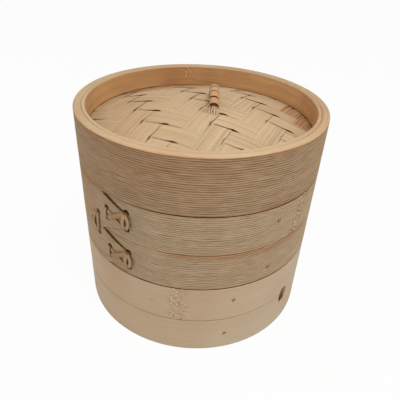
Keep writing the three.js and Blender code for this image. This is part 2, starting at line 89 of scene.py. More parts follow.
# Crossbars and slats
BAR_HEIGHT = 11.4
BAR_THICKNESS = 4.0
BAR_EDGE = 1.6
BAR_RISE = 17.7
BAR_OFFSET = 18.25
SLAT_THICKNESS = 2.2
SLAT_WIDTH = 12.5
SLAT_PITCH = 18.7
SLATS_A_SIDE = 3
FLOOR_UNDERSIDE = BAR_RISE + BAR_HEIGHT + FIT
FLOOR_TOP = FLOOR_UNDERSIDE + SLAT_THICKNESS

# Cane lacing
CANE_THICKNESS = 0.62
CANE_HOLE = 1.75
CANE_DIVE = 3.0
CROSS_SPAN = 14.3
CROSS_FAR = 1.0
CROSS_TALL = 11.2
CROSS_SHORT = 6.6
CROSS_BULGE = 3.2
CROSS_SAG = 1.3
LOOP_OFFSET = 23.3
LOOP_UP = 8.9
LOOP_DOWN = 6.3
LOOP_BULGE = 8.2

# Pegs, by their square section's side
PEG_WIDTH = 1.7
PEG_HALF_DIAGONAL = PEG_WIDTH / 2 ** 0.5
PEG_PROUD = 0.2

# The three bodies: the height of the foot, those of the seam and the top over it, and the azimuths of
# the tongues' tip and the crossbars. The lid has no seam, and seam is the middle of its tongue. sawn is
# 1 for band-sawn hoops and 0 for planed ones, and looks is their finish. Pegs are (azimuth, height,
# shadow), marks of culm nodes (azimuth, half width in degrees, lower end, upper end, lean in degrees a
# millimetre), and flushes of reddish bamboo (azimuth from, azimuth to, height, width, strength), with
# heights over the foot.
BODIES = {
    "lower_tier": dict(
        foot=0.0, seam=26.0, top=52.0, tip=150.0, bars=65.4,
        sawn=0.0, looks="lower_hoops", slot="pale_bamboo",
        pegs=((18.7, 41.3, 1.0), (15.9, 13.0, 1.0), (-18.1, 38.6, 0.3)),
        marks=((-6.8, 5.4, 26.2, 51.6, 0.0),),
        flushes=((-150.0, 14.0, 26.0, 60.0, 0.4),),
    ),
    "upper_tier": dict(
        foot=52.0, seam=24.8, top=50.5, tip=-30.7, bars=90.0,
        sawn=1.0, looks="upper_hoops", slot="brown_bamboo",
        pegs=((36.5, 40.7, 1.0), (34.5, 8.4, 0.9)),
        marks=((48.0, 3.6, 25.0, 50.4, 0.17),),
        flushes=(
            (-16.0, 62.0, 23.7, 2.4, 1.0), (-110.0, -40.0, 48.8, 2.6, 0.9),
            (-150.0, -42.0, 38.0, 20.0, 0.6),
        ),
    ),
    "lid": dict(
        foot=102.5, seam=17.0, top=34.0, tip=128.0,
        sawn=1.0, looks="lid_hoop", slot="brown_bamboo",
        pegs=((-100.3, 26.2, 1.0), (174.6, 23.4, 0.5)),
        marks=(),
        flushes=(
            (20.0, 85.0, 0.8, 1.3, 0.9), (-110.0, -35.0, 0.8, 1.8, 0.9),
            (-180.0, 180.0, 33.1, 0.75, 1.0), (-60.0, 45.0, 30.8, 2.4, 0.4),
            (-40.0, 20.0, 26.0, 7.0, 0.5),
        ),
    ),
}
TIERS = ("lower_tier", "upper_tier")

# Lid: its top and its panel over the floor, the dome and the ribs
LID_TOP = BODIES["lid"]["foot"] + BODIES["lid"]["top"]
LID_RING_FOOT = BODIES["lid"]["foot"] + RING_FOOT
PANEL_TOP = BODIES["lid"]["foot"] + 20.2
PANEL_THICKNESS = 2.4
PANEL_UNDERSIDE = PANEL_TOP - PANEL_THICKNESS
DOME_RISE = 12.5
DOME_RADIUS = BAND_INNER - 0.8
RIB_WIDTH = 8.0
RIB_THICKNESS = 2.4

# Handle: the loop of cane stands in the plane x = HANDLE_X
HANDLE_X = 7.0
HANDLE_CENTRE = -0.6
HANDLE_HALF = 16.0
HANDLE_ARCH = 8.1
CORE_RADIUS = 1.6
CORE_LEG = 7.4
HEAD_RADII = (2.3, 2.7, 2.7, 2.6, 2.1)
HEAD_HEIGHT = 1.6
WINDING_PITCH = 4.6
WINDING_TURNS = 5.5
WINDING_THICKNESS = 0.85

# Slivers of the frayed near leg: how far beside the loop each one ends, and at what (y, z) a sliver in
# the loop's own plane would leave the winding and bend down
SLIVERS = (-6.2, -4.7, -3.0, -1.2, 0.4, 1.8, 2.9)
SLIVER_TOP = (-10.4, 138.3)
SLIVER_BEND = (-13.6, 137.1)

# Twill of the woven panel, in directions turned by WEAVE_TURN: down strips run along b, cross
# strips along a, and a cell's down strip is on top where (cell across - cell down) mod 4 is 0 or 3
WEAVE_TURN = np.radians(24.0)
DOWN_FIRST = -45.07
DOWN_PITCH = 12.342
CROSS_FIRST = -10.26
CROSS_PITCH = 12.578
DOWN_STRIPS = range(-2, 10)
CROSS_STRIPS = range(-7, 5)
PLAIN_TONE = 0.04
DOWN_TONES = {-1: 0.1, 0: 0.14, 3: 0.0, 5: 0.1}
BROWN_STRIPS = {7: 0.8, 8: 1.0, 9: 1.0}
CROSS_TONES = {-6: 0.1, -5: 0.2, -4: 0.1, -3: 0.16, 1: 0.12, 2: 0.1, 4: 0.1}

# The photograph's camera: how far in front of the steamer's axis and over its foot it is, how many
# degrees it turns from +Y towards +X, tilts up, and rolls with its right side going up, and its lens
CAMERA_FORWARD = 245.187
CAMERA_HEIGHT = 224.73
CAMERA_PAN = 0.438
CAMERA_TILT = -33.382
CAMERA_ROLL = 3.066
CAMERA_LENS = 37.551
CAMERA_SENSOR = 36.0


def linear(code):
    """Scene-linear colour of an sRGB hex code."""
    value = np.array([int(code[k:k + 2], 16) for k in (1, 3, 5)]) / 255
    return tuple(np.where(value <= 0.04045, value / 12.92, ((value + 0.055) / 1.055) ** 2.4))


# Properties


def length_property(name, description, value, low, high):
    """A length that can be set between low and high; all three are in millimetres."""
    return FloatProperty(
        name=name, description=description, default=value * MM, min=low * MM, max=high * MM,
        subtype="DISTANCE", unit="LENGTH", precision=5,
    )


def colour_property(name, description, code):
    """A colour that can be set, from its sRGB hex code."""
    return FloatVectorProperty(
        name=name, description=description, default=linear(code), size=3, min=0, max=1, subtype="COLOR",
    )


class SteamerSizes(bpy.types.PropertyGroup):
    """Sizes of the fine surfaces that can be changed without touching the solid model."""

    edge_ease: length_property(
        "Edge easing", "Radius that the edges of hoops and rings are eased to", 0.45, 0.1, 0.8)
    rim_ease: length_property("Rim easing", "Radius of the lid rim's outer edge", 0.6, 0.3, 1.6)
    lap_step: length_property(
        "Lap step", "Step from a hoop's tongue down to the end that it laps", 0.9, 0.3, 1.4)
    saw_spacing: length_property(
        "Saw line spacing", "Distance between the saw lines round a brown hoop", 1.27, 0.8, 3)
    saw_depth: length_property(
        "Saw line depth", "Depth of the saw lines round a brown hoop", 0.15, 0.0, 0.3)
    strip_thickness: length_property(
        "Strip thickness", "Thickness of the woven panel's outer strips", 0.6, 0.3, 0.8)
    strip_gap: length_property(
        "Strip gap", "Gap between neighbouring strips of the woven panel", 0.16, 0.05, 1.5)
    strip_rise: length_property(
        "Strip rise", "How far a strip rises and dips where it passes over and under", 0.36, 0.1, 0.6)


class SteamerColours(bpy.types.PropertyGroup):
    """Ground colours of the finishes."""

    lid_hoop: colour_property("Lid hoop", "Sawn bamboo of the lid's hoop", "#aa9074")
    upper_hoops: colour_property("Upper hoops", "Sawn bamboo of the upper tier's hoops", "#b39d82")
    lower_hoops: colour_property("Lower hoops", "Planed bamboo of the lower tier's hoops", "#c4b49b")
    cut_edge: colour_property("Cut edges", "Sanded edges of hoops and rings", "#ccb28f")
    inner: colour_property("Bands", "Planed bamboo of the inner bands and rings", "#c69b6d")
    woven: colour_property("Woven strips", "Split bamboo of the woven panel", "#c9b08f")
    # reddish also tints the deepest painted shade, and the painted shade towards the weave's back
    reddish: colour_property("Reddish strips", "Culm skin on the reddish strips and streaks", "#a5683a")
    slats: colour_property("Slats", "Split bamboo of the floor slats and lid ribs", "#d2b483")
    bars: colour_property("Crossbars", "Split culm of the crossbars", "#9f7650")
    pegs: colour_property("Pegs", "End grain of the pegs", "#9c7d5e")
    cane: colour_property("Lacing", "Split cane of the lacing", "#b99b79")
    winding: colour_property("Winding", "Split cane wound round the handle", "#c39d76")


# Numbers and shapes


def smooth(value):
    """0 up to 0, 1 from 1 on, and 3v² - 2v³ between."""
    value = np.clip(value, 0, 1)
    return value * value * (3 - 2 * value)


def turn(azimuth, centre):
    """Degrees from centre round to azimuth, between -180 and 180."""
    return (azimuth - centre + 180) % 360 - 180


def arc(azimuth, centre):
    """Length along the outside of the wall from centre to azimuth."""
    return np.radians(turn(azimuth, centre)) * WALL


def degrees_of(length):
    """Azimuth that a length along the outside of the wall spans."""
    return np.degrees(length / WALL)


def beside(azimuth):
    """0 at the front, and from 30 to 65 degrees off it up to 1 at the sides and the back."""
    return smooth((np.abs(turn(azimuth, 0)) - 30) / 35)


def grid(*coordinates):
    """Points from arrays of matching shapes, one array for each coordinate."""
    return np.stack(np.broadcast_arrays(*coordinates), -1)


def on_wall(azimuth, radius, height):
    """Points at azimuth, radius and height: x = r sin a, y = -r cos a."""
    a = np.radians(azimuth)
    return grid(radius * np.sin(a), -radius * np.cos(a), height)


def ripple(x, y, length, seed):
    """Sum of 14 sine waves of random direction and phase with wavelengths near length, about -1 to 1."""
    dice = np.random.default_rng(seed)
    angles, phases, stretches = (dice.uniform(*ends, 14) for ends in ((0, np.pi), (0, 6.28), (0.7, 1.6)))
    total = 0
    for angle, phase, stretch in zip(angles, phases, stretches):
        along = x * np.cos(angle) + y * np.sin(angle)
        total = total + np.sin(2 * np.pi / (length * stretch) * along + phase)
    return total / 4


def dome(radius):
    """Height of the dome above the panel's flat edge: rise * (1 - (r / R)²), 0 outside R."""
    return DOME_RISE * (1 - np.minimum(radius / DOME_RADIUS, 1) ** 2)


def spread(length, spots, fine, coarse):
    """Places along a closed length, a fine step apart near each spot (centre, half) and a coarse one
    elsewhere: the running sum of 1 / step, read off at whole numbers."""
    along = np.linspace(0, length, 6000)
    near = np.zeros_like(along)
    fade = 4
    for centre, half in spots:
        apart = np.abs((along - centre + length / 2) % length - length / 2)
        near = np.maximum(near, smooth((half + fade - apart) / fade))
    density = 1 / coarse + near * (1 / fine - 1 / coarse)
    count = np.concatenate([[0], np.cumsum((density[1:] + density[:-1]) / 2 * np.diff(along))])
    whole = int(np.ceil(count[-1]))
    return np.interp(np.arange(whole) * count[-1] / whole, count, along)


def oval(width, thickness, points, power=2.6):
    """Closed section of a flat strip, a superellipse |x / a|^p + |y / b|^p = 1, as (across, through)."""
    t = np.arange(points) / points * 2 * np.pi
    across = np.sign(np.cos(t)) * np.abs(np.cos(t)) ** (2 / power)
    through = np.sign(np.sin(t)) * np.abs(np.sin(t)) ** (2 / power)
    return grid(across * width / 2, through * thickness / 2)


def board(width, thickness, ease, steps, crown=0.0, bends=4):
    """Closed section of a board with eased edges, as (across, through): the upper face is split in
    steps and crowned by a parabola, and each corner has a number of bends."""
    corner = np.linspace(0, np.pi / 2, bends + 1)
    half, tall = width / 2 - ease, thickness / 2 - ease
    flat = np.linspace(half, -half, steps + 1)[1:-1]
    right_up = grid(half + ease * np.cos(corner), tall + ease * np.sin(corner))
    left_up = grid(-half - ease * np.sin(corner), tall + ease * np.cos(corner))
    upper = np.concatenate([right_up, grid(flat, thickness / 2), left_up])
    loop = np.concatenate([upper, -right_up, -left_up])
    lift = crown * (1 - (2 * loop[:, 0] / width) ** 2) * (loop[:, 1] > 0)
    return loop + grid(0, lift)


def curve_through(points, count):
    """Even points along a smooth curve: cubics through the points, with a slope at each one of half
    the way from the point before it to the one after."""
    points = np.asarray(points, float)
    padded = np.concatenate([[2 * points[0] - points[1]], points, [2 * points[-1] - points[-2]]])
    t = np.linspace(0, 1, 24, endpoint=False)[:, None, None]
    a, b, c, d = padded[:-3], padded[1:-2], padded[2:-1], padded[3:]
    square, cube = 2 * a - 5 * b + 4 * c - d, 3 * b - a - 3 * c + d
    fine = 0.5 * (2 * b + (c - a) * t + square * t ** 2 + cube * t ** 3)
    fine = np.concatenate([fine.transpose(1, 0, 2).reshape(-1, points.shape[1]), points[-1:]])
    run = length_along(fine)
    even = np.linspace(0, run[-1], count)
    return grid(*(np.interp(even, run, values) for values in fine.T))


def length_along(path):
    """Length from the start of a path to each of its points."""
    return np.concatenate([[0], np.cumsum(np.linalg.norm(np.diff(path, axis=0), axis=1))])


def unit(vectors):
    """Vectors of length 1 in the same directions."""
    return vectors / np.linalg.norm(vectors, axis=-1, keepdims=True)


def swept(path, section, side):
    """Section carried along a path: path + across * side + through * (side x tangent)."""
    tangent = unit(np.gradient(path, axis=0))
    side = unit(side - (side * tangent).sum(-1, keepdims=True) * tangent)
    up = np.cross(side, tangent)
    return path[:, None] + section[None, :, :1] * side[:, None] + section[None, :, 1:] * up[:, None]


# Surfaces and meshes


def closed(values):
    """Values on a grid, with the first column again after the last."""
    return np.concatenate([values, values[:, :1]], 1)


def round_map(run, section, start):
    """Grain map of a section carried round: the run along the fibre, and from start the length round
    the closed section, in millimetres."""
    return grid(run, start + length_along(np.concatenate([section, section[:1]])))


def surface(points, around=False, uv=None, slots=0, **values):
    """One closed grid of points: its second parameter closes on itself, and the first does too if
    around is set, or else gets a flat cap at each end. uv is in millimetres, slots numbers the
    finish of each column of faces, and values are numbers kept on the points."""
    if uv is None:
        run = np.cumsum(np.linalg.norm(np.diff(points, axis=0, prepend=points[:1]), axis=2), axis=0)
        round_run = np.linalg.norm(points - np.roll(points, 1, axis=1), axis=2).mean(0)
        across = np.concatenate([[0], np.cumsum(round_run[1:]), [round_run.sum()]])
        uv = grid(closed(run), across)
    return dict(points=points, around=around, uv=uv, slots=slots, values=values)


def volume_of(points, quads):
    """Six times the volume that the quads close, by their triangles' signed tetrahedra."""
    a, b, c, d = (points[quads[:, k]] for k in range(4))
    return (a * (np.cross(b, c) + np.cross(c, d))).sum()


def faces_of(part):
    """Faces of a surface by the numbers of their corners, with the corners' map and the faces'
    finishes: the grid's quads, and a cap at each open end, all turned to face outwards."""
    rows, columns = part["points"].shape[:2]
    flat = part["points"].reshape(-1, 3)
    number, uv = closed(np.arange(rows * columns).reshape(rows, columns)), part["uv"] / UV_MM
    if part["around"]:
        number = np.concatenate([number, number[:1]])
    quads, quad_uv = (
        np.stack([each[:-1, :-1], each[1:, :-1], each[1:, 1:], each[:-1, 1:]], 2) for each in (number, uv)
    )
    quads, quad_uv = quads.reshape(-1, 4), quad_uv.reshape(-1, 4, 2)
    kinds = np.broadcast_to(part["slots"], (len(number) - 1, columns)).reshape(-1)
    outward = slice(None, None, 1 if volume_of(flat - flat.mean(0), quads) > 0 else -1)
    faces, maps = [quads[:, outward]], [quad_uv[:, outward].reshape(-1, 2)]
    if not part["around"]:
        for row, way in ((0, 1), (-1, -1)):
            faces.append(number[row, :-1][::way][outward][None])
            maps.append(uv[row, :-1][::way][outward])
        kinds = np.concatenate([kinds, kinds[[0, -1]]])
    return faces, maps, kinds


def added(name, data):
    """A new object for a mesh, lamp or camera, in the scene."""
    thing = bpy.data.objects.new(name, data)
    bpy.context.scene.collection.objects.link(thing)
    return thing


def build(node_name, surfaces, skins, body, name=None):
    """Joins surfaces into one object that rides on a body and stands for a CAD node. It is named for
    the node, or given a name where a node is stood for by more than one."""
    name = name or f"{node_name}_fine"
    faces, maps, kinds, start = [], [], [], 0
    for part in surfaces:
        part_faces, part_maps, part_kinds = faces_of(part)
        for group in part_faces:
            faces += (group + start).tolist()
        maps += part_maps
        kinds.append(part_kinds)
        start += part["points"][..., 0].size
    points = np.concatenate([part["points"].reshape(-1, 3) for part in surfaces])
    mesh = bpy.data.meshes.new(name)
    mesh.from_pydata((points * MM).tolist(), [], faces)
    mesh.polygons.foreach_set("material_index", np.concatenate(kinds).astype(np.int32))
    mesh.uv_layers.new(name="grain").data.foreach_set("uv", np.concatenate(maps).astype(np.float32).ravel())
    for key in sorted({key for part in surfaces for key in part["values"]}):
        value = np.concatenate([
            np.broadcast_to(part["values"].get(key, 0.0), part["points"].shape[:2]).ravel()
            for part in surfaces
        ])
        stored = mesh.attributes.new(key, "FLOAT", "POINT")
        stored.data.foreach_set("value", value.astype(np.float32))
    mesh.shade_smooth()
    mesh.set_sharp_from_angle(angle=np.radians(50))
    for skin in skins:
        mesh.materials.append(skin)
    piece = added(name, mesh)
    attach(piece, body)
    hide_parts(node_name)
    return piece


# Finishes

# Noise along the grain: the length and width of its patches in millimetres, and its detail. Fibres
# and bundles are finer in real bamboo, and are drawn as coarse as they need to show.
GRAIN = {
    "streaks": (170, 4.5, 2), "bands": (110, 8, 1), "fibres": (30, 0.45, 2), "bundles": (7, 0.6, 1),
    "skin": (40, 0.9, 1), "flecks": (9, 0.6, 2), "breaks": (11, 1.6, 2), "pale flecks": (9, 0.5, 1),
    "dark flecks": (10, 0.5, 1), "ridges": (120, 0.9, 1),
}
# The same for the noise on culm nodes, which a finish can draw larger
NODE_GRAIN = {"scribbles": (3.2, 1.5, 2), "specks": (1.5, 1.1, 1)}
# Noise through the piece: the width of its patches in millimetres, and its detail
CLOUDS = {"patches": (31.25, 2), "drift": (62.5, 1)}
# Numbers kept on the points; the last one is painted shade
VALUES = ("tone", "flush", "groove", "lines", "mark", "dirt")

# The finishes by colour property: the material's name, and what bamboo() draws it with
FINISHES = {
    # band-sawn bamboo, left rough: close saw lines and short brown bundles round the hoop
    "lid_hoop": ("band-sawn bamboo, brown", dict(
        fibre=0.22, dash=0.15, dash_dark=0.6, saw=0.9, rough=0.62, mottle=0.08)),
    "upper_hoops": ("band-sawn bamboo, tan", dict(
        fibre=0.22, dash=0.15, dash_dark=0.6, saw=0.8, rough=0.62, mottle=0.12,
        mark_light=0.9, mark_dark=0.7, mark_size=1.5)),
    # planed and sanded culm wood, pale and even, with faint fibre
    "lower_hoops": ("planed bamboo, pale", dict(
        fibre=0.1, dash=0.08, dash_dark=0.7, rough=0.5, relief=0.25, pale=1.06, mottle=0.06)),
    # sanded edges, lighter where the fibres are cut
    "cut_edge": ("sanded bamboo edge", dict(
        fibre=0.2, dash=0.3, dash_dark=0.7, rough=0.5, relief=0.25, pale=1.1)),
    # planed inner wood, warmer and a little waxy
    "inner": ("planed inner bamboo", dict(
        fibre=0.15, dash=0.12, dash_dark=0.65, rough=0.48, relief=0.3, mark_light=0.9, mark_dark=0.4)),
    # knife-split strips with raised fibre ridges
    "woven": ("split bamboo strip", dict(
        fibre=0.25, dash=0.25, dash_dark=0.6, lines=0.36, relief=0.6, pale=1.08)),
    "slats": ("split bamboo slat", dict(fibre=0.3, dash=0.3, dash_dark=0.55, lines=0.4)),
    # a split culm with its brown skin on, coarse fibre at its ends
    "bars": ("split culm", dict(fibre=0.55, dash=0.6, dash_dark=0.35, rough=0.6, relief=0.8)),
    # cut across, so the bundles show as brown dots
    "pegs": ("bamboo peg end grain", dict(fibre=0.3, dash=0.4, dash_dark=0.5, rough=0.65)),
    # split cane, smooth outside with fine lines along it
    "cane": ("split cane lacing", dict(fibre=0.35, dash=0.2, dash_dark=0.6, rough=0.45)),
    "winding": ("split cane winding", dict(fibre=0.35, dash=0.3, dash_dark=0.6, rough=0.42)),
}


def node(tree, kind, inputs=None, **settings):
    """Adds a shader node with its settings, and its sockets' values or links."""
    made = tree.nodes.new("ShaderNode" + kind)
    for key, value in settings.items():
        setattr(made, key, value)
    for key, value in (inputs or {}).items():
        if isinstance(value, bpy.types.NodeSocket):
            tree.links.new(value, made.inputs[key])
        else:
            made.inputs[key].default_value = value
    return made


def shade(colour, *factors):
    """A linear colour scaled by one factor, or by one for each channel, with alpha 1."""
    return (*np.minimum(np.multiply(colour, factors), 1), 1)


def bamboo(
    name, colour, reddish, fibre, dash, dash_dark, saw=0.0, lines=0.0, rough=0.55, relief=0.5, pale=1.18,
    mottle=0.2, mark_light=0.5, mark_dark=0.5, mark_size=1.0,
):
    """Bamboo with its fibre along u of the grain map, as layers mixed over a ground colour.

    The ground is lightened in long streaks up to pale, mottled in soft patches, and darkened along
    fine fibres (fibre = strength) and short vascular bundles (dash = strength, dash_dark = how dark).
    On the points, tone mixes in the reddish colour, flush reddens the ground, groove darkens saw
    lines, lines are the knife's ridges, mark scribbles over a culm node, and one value paints shade
    into crevices, seams, holes and the parts that pass under others."""
    if name in bpy.data.materials:
        return bpy.data.materials[name]
    dark = shade(colour, 0.42, 0.34, 0.26)
    # each layer: its noise or value, two of its numbers and the layer's strength at each, the value
    # that the strength is multiplied by, and the layer's colour
    layers = [
        ("streaks", 0.4, 0.68, 0, 1, None, shade(colour, pale)),
        ("patches", 0.42, 0.7, 0, mottle, None, shade(colour, 0.8)),
        ("drift", 0.5, 0.68, 0, 0.08 if saw else 0.2, None, shade(reddish, 1.3)),
        ("bands", 0.5, 0.62, 0, 2 * mottle, None, shade(colour, 0.94, 0.96, 0.86)),
        ("fibres", 0.45, 0.75, 0, fibre, None, shade(colour, 0.62)),
        ("bundles", 0.56, 0.7, 0, dash, None, shade(colour, dash_dark)),
        # tone: the reddish skin, and on the woven panel also painted shade towards its back
        ("skin", 0.42, 0.6, 1, 0.5, "tone", shade(reddish, 0.9, 1.15, 1.6)),
        ("flecks", 0.38, 0.58, 0.45, 1, "flush", shade(colour, 0.88, 0.59, 0.46)),
    ]
    if saw:
        layers += [
            ("breaks", 0.35, 0.65, 0.5 * saw, 1.2 * saw, "groove", dark),
            ("groove", 0, 0.15, 0.3, 0, None, shade(colour, 1.35)),
            ("pale flecks", 0.52, 0.66, 0, 0.25, None, shade(colour, 1.5)),
            ("dark flecks", 0.54, 0.68, 0, 0.25, None, dark),
        ]
    if lines:
        # uneven ridges that the splitting knife leaves, about 1 mm apart
        layers += [
            ("ridges", 0.34, 0.44, lines, 0, "lines", dark),
            ("ridges", 0.54, 0.66, 0, lines, "lines", shade(colour, 1.25)),
        ]
    layers += [
        # a culm node: fine brown scribbles, and pale and dark specks
        ("scribbles", 0.01, 0.06, mark_dark, 0, "mark", shade(reddish, 0.75)),
        ("specks", 0.52, 0.62, 0, mark_light, "mark", shade(colour, 1.3)),
        ("specks", 0.38, 0.46, 0.7 * mark_dark, 0, "mark", dark),
        # painted shade in crevices, seams and holes: brown, and nearly black where it is deepest
        ("dirt", 0, 0.6, 0, 1, None, shade(colour, 0.38, 0.25, 0.13)),
        ("dirt", 0.4, 0.9, 0, 1, None, shade(reddish, 0.16, 0.14, 0.06)),
    ]

    made = bpy.data.materials.new(name)
    made.use_nodes = True
    tree = made.node_tree
    tree.nodes.clear()
    grain = node(tree, "UVMap", uv_map="grain").outputs[0]
    place = node(tree, "TexCoord").outputs["Object"]
    sources, used = {}, {layer[0] for layer in layers} | {layer[5] for layer in layers}
    for kinds, size in ((GRAIN, 1), (NODE_GRAIN, mark_size)):
        for key, (along, across, detail) in kinds.items():
            if key in used:
                scale = (UV_MM / along / size, UV_MM / across / size, 1)
                mapped = node(tree, "Mapping", {"Vector": grain, "Scale": scale}).outputs[0]
                noise = node(tree, "TexNoise", {"Vector": mapped, "Scale": 1.0, "Detail": detail})
                sources[key] = noise.outputs["Fac"]
    for key, (width, detail) in CLOUDS.items():
        noise = node(tree, "TexNoise", {"Vector": place, "Scale": 1 / (width * MM), "Detail": detail})
        sources[key] = noise.outputs["Fac"]
    for key in VALUES:
        if key in used:
            sources[key] = node(tree, "Attribute", attribute_name=key).outputs["Fac"]
    # a scribble runs where the noise is near its middle
    middle = node(tree, "Math", {0: sources["scribbles"], 1: 0.5}, operation="SUBTRACT")
    sources["scribbles"] = node(tree, "Math", {0: middle.outputs[0]}, operation="ABSOLUTE").outputs[0]

    ground = shade(colour, 1)
    for source, low, high, at_low, at_high, value, over in layers:
        share = node(tree, "MapRange", {
            "Value": sources[source], "From Min": low, "From Max": high,
            "To Min": at_low, "To Max": at_high,
        }).outputs[0]
        if value:
            share = node(tree, "Math", {0: sources[value], 1: share}, operation="MULTIPLY").outputs[0]
        ground = node(tree, "Mix", {0: share, 6: ground, 7: over}, data_type="RGBA").outputs[2]

    bundles = node(tree, "MapRange", {"Value": sources["bundles"], "From Min": 0.56, "From Max": 0.7})
    height = node(tree, "Math", {0: sources["fibres"], 1: bundles.outputs[0]}, operation="SUBTRACT")
    if lines:
        ridges = node(tree, "Math", {0: sources["lines"], 1: 0.8}, operation="MULTIPLY").outputs[0]
        height = node(tree, "Math", {
            0: sources["ridges"], 1: ridges, 2: height.outputs[0],
        }, operation="MULTIPLY_ADD")
    bump = node(tree, "Bump", {"Height": height.outputs[0], "Strength": relief, "Distance": 0.12 * MM})
    sheen = node(tree, "MapRange", {
        "Value": sources["fibres"], "From Min": 0.3, "From Max": 0.7,
        "To Min": rough - 0.06, "To Max": rough + 0.1,
    })
    # unvarnished bamboo has next to no shine
    shader = node(tree, "BsdfPrincipled", {
        "Base Color": ground, "Roughness": sheen.outputs[0], "Normal": bump.outputs[0],
        "IOR": 1.5, "Specular IOR Level": 0.04,
    })
    node(tree, "OutputMaterial", {"Surface": shader.outputs[0]})
    return made


def finishes(context):
    """The bamboo and cane finishes by colour property."""
    colours = context.scene.steamer_colours
    return {
        key: bamboo(name, tuple(getattr(colours, key)), tuple(colours.reddish), **drawn)
        for key, (name, drawn) in FINISHES.items()
    }


# Hoops


def stitches(name):
    """A body's stitches by piece: their holes as (azimuth, height over its foot), and their strands as
    (hole, hole, bulge, lift, width)."""
    tip, seam = BODIES[name]["tip"], BODIES[name]["seam"]

    def cross(middle):
        """A cross stitch at the tongue's tip, round a height over the foot."""
        near, far = tip - degrees_of(CROSS_SPAN - CROSS_FAR), tip + degrees_of(CROSS_FAR)
        near_top, near_low = (near, middle + CROSS_SHORT / 2), (near, middle - CROSS_SHORT / 2)
        far_top, far_low = (far, middle + CROSS_TALL / 2), (far - 0.3, middle - CROSS_TALL / 2)
        return dict(holes=(near_top, near_low, far_top, far_low), strands=(
            (near_top, far_low, 0.2, 0.0, 2.7), (near_low, far_top, -0.2, 0.55, 2.9),
            (far_low, far_top, -0.9, 0.7, 2.3), (far_low, far_top, CROSS_BULGE - 0.8, 0.3, 2.2),
            (near_low, near_top, -0.9, 0.0, 1.8),
        ))

    azimuth = tip - degrees_of(LOOP_OFFSET)
    top, low = (azimuth + 0.5, seam + LOOP_UP), (azimuth - 0.4, seam - LOOP_DOWN)
    loop = dict(holes=(top, low), strands=(
        (low, top, 0.3, 0.1, 2.4), (low, top, -LOOP_BULGE, 0.1, 2.3),
        (low, top, -LOOP_BULGE / 2, 0.45, 2.3),
    ))
    if name == "lid":
        return {"lacing_tip": cross(seam), "lacing_root": loop}
    inset = TONGUE_TIP_INSET + TONGUE_TIP_HEIGHT / 2
    return {
        "lacing_upper": cross(seam + inset), "lacing_seam": loop,
        "lacing_lower": cross(seam - inset - CROSS_SAG),
    }


def lap(along, height, tongue, step):
    """How far a hoop's face lies under its tongue's, painted shade along the crevice at the tongue's
    edges, and whether a point is on the tongue. along is the length from the tongue's tip.

    The tongue is the band between two straight edges that run from the hoop's own edges to the
    tip's corners; outside it the face is lower by step, and past the tip it comes back up evenly."""
    bottom, top, low_edge, high_edge, tip_low = tongue
    low = bottom + (tip_low - bottom) * np.clip(1 + along / low_edge, 0, 1)
    high = top + (tip_low + TONGUE_TIP_HEIGHT - top) * np.clip(1 + along / high_edge, 0, 1)
    beyond, soft = 20, 0.5
    low = np.where(along < -low_edge, bottom - beyond, low)
    high = np.where(along < -high_edge, top + beyond, high)
    inside = smooth((height - low) / soft + 0.5) * smooth((high - height) / soft + 0.5)
    inside = inside * smooth(-along / 0.6 + 0.5)
    fall = np.clip(1 - along / TONGUE_RUN_OUT, 0, 1)
    near = (along > -TONGUE_REACH) & (along < 1)
    # painted shade: above the tongue's upper edge, below its lower edge, and just past its tip
    over = np.exp(-((height - high - 0.3) / (0.42 + 0.3 * smooth(-along / 12))) ** 2) * near
    under = np.exp(-((low - height - 0.2) / 0.4) ** 2) * near
    past = np.exp(-((along - 0.3) / 0.5) ** 2) * (height > low - 0.3) * (height < high + 0.3)
    crevice = np.maximum(np.maximum(0.88 * over, 0.45 * under), 0.7 * past) * (fall > 0)
    return step * (1 - inside) * fall, crevice, inside > 0.5


def bar_ends(turned):
    """Azimuth and height of a tier's four crossbar ends."""
    lean = np.degrees(np.arcsin(BAR_OFFSET / WALL))
    azimuths = (turned + lean, turned - lean, turned + 180 - lean, turned + 180 + lean)
    return [(azimuth, BAR_RISE + BAR_HEIGHT / 2) for azimuth in azimuths]


def pits(azimuth, height, holes, pegs, bars):
    """Depth of the round lacing holes, the diamond sockets of the pegs and the lens slots of the
    crossbars, which are cut a little wide, most of all to the left and below as seen from outside,
    and the shadow in the holes and the sockets."""
    hole_depth, socket_depth, slot_depth, slot_room = 2.8, 0.9, 3.2, 1.1
    depth = np.zeros(np.broadcast(azimuth, height).shape)
    for place, rise in holes:
        inside = CANE_HOLE - np.hypot(arc(azimuth, place), height - rise)
        depth = np.maximum(depth, hole_depth * smooth(inside / 0.5 + 0.5))
    dark = 0.8 * smooth(depth / 1.2)
    for place, rise, shadow in pegs:
        away = np.abs(arc(azimuth, place) + 0.12) + np.abs(height - rise + 0.12)
        shape = smooth((PEG_HALF_DIAGONAL + 0.05 - away) / 0.4 + 0.5)
        depth, dark = np.maximum(depth, socket_depth * shape), np.maximum(dark, 0.6 * shadow * shape)
    for place, rise in bars:
        up = (height - rise + 0.5) / (BAR_HEIGHT / 2 + slot_room)
        half = BAR_EDGE / 2 + (BAR_THICKNESS - BAR_EDGE) / 2 * (1 - np.clip(up, -1, 1) ** 2) + 1.5
        inside = np.minimum(half - np.abs(arc(azimuth, place) + 0.7), (1 - np.abs(up)) * BAR_HEIGHT / 2)
        depth = np.maximum(depth, slot_depth * smooth(inside / 0.5 + 0.5))
    return depth, dark


def culm_nodes(azimuth, height, marks):
    """1 in the leaning, ragged bands of a hoop's culm nodes, and 0 from a little outside them."""
    mark = 0
    for place, half, start, end, lean in marks:
        ragged = ripple(height, azimuth, 3.0, 5) * 0.5 + 0.4 * np.sin(height / 2.1)
        away = np.abs(turn(azimuth, place + lean * (height - start)) + ragged * half / 3) / half
        mark = np.maximum(mark, smooth(1.4 - away * 1.2) * ((height > start) & (height < end)))
    return mark


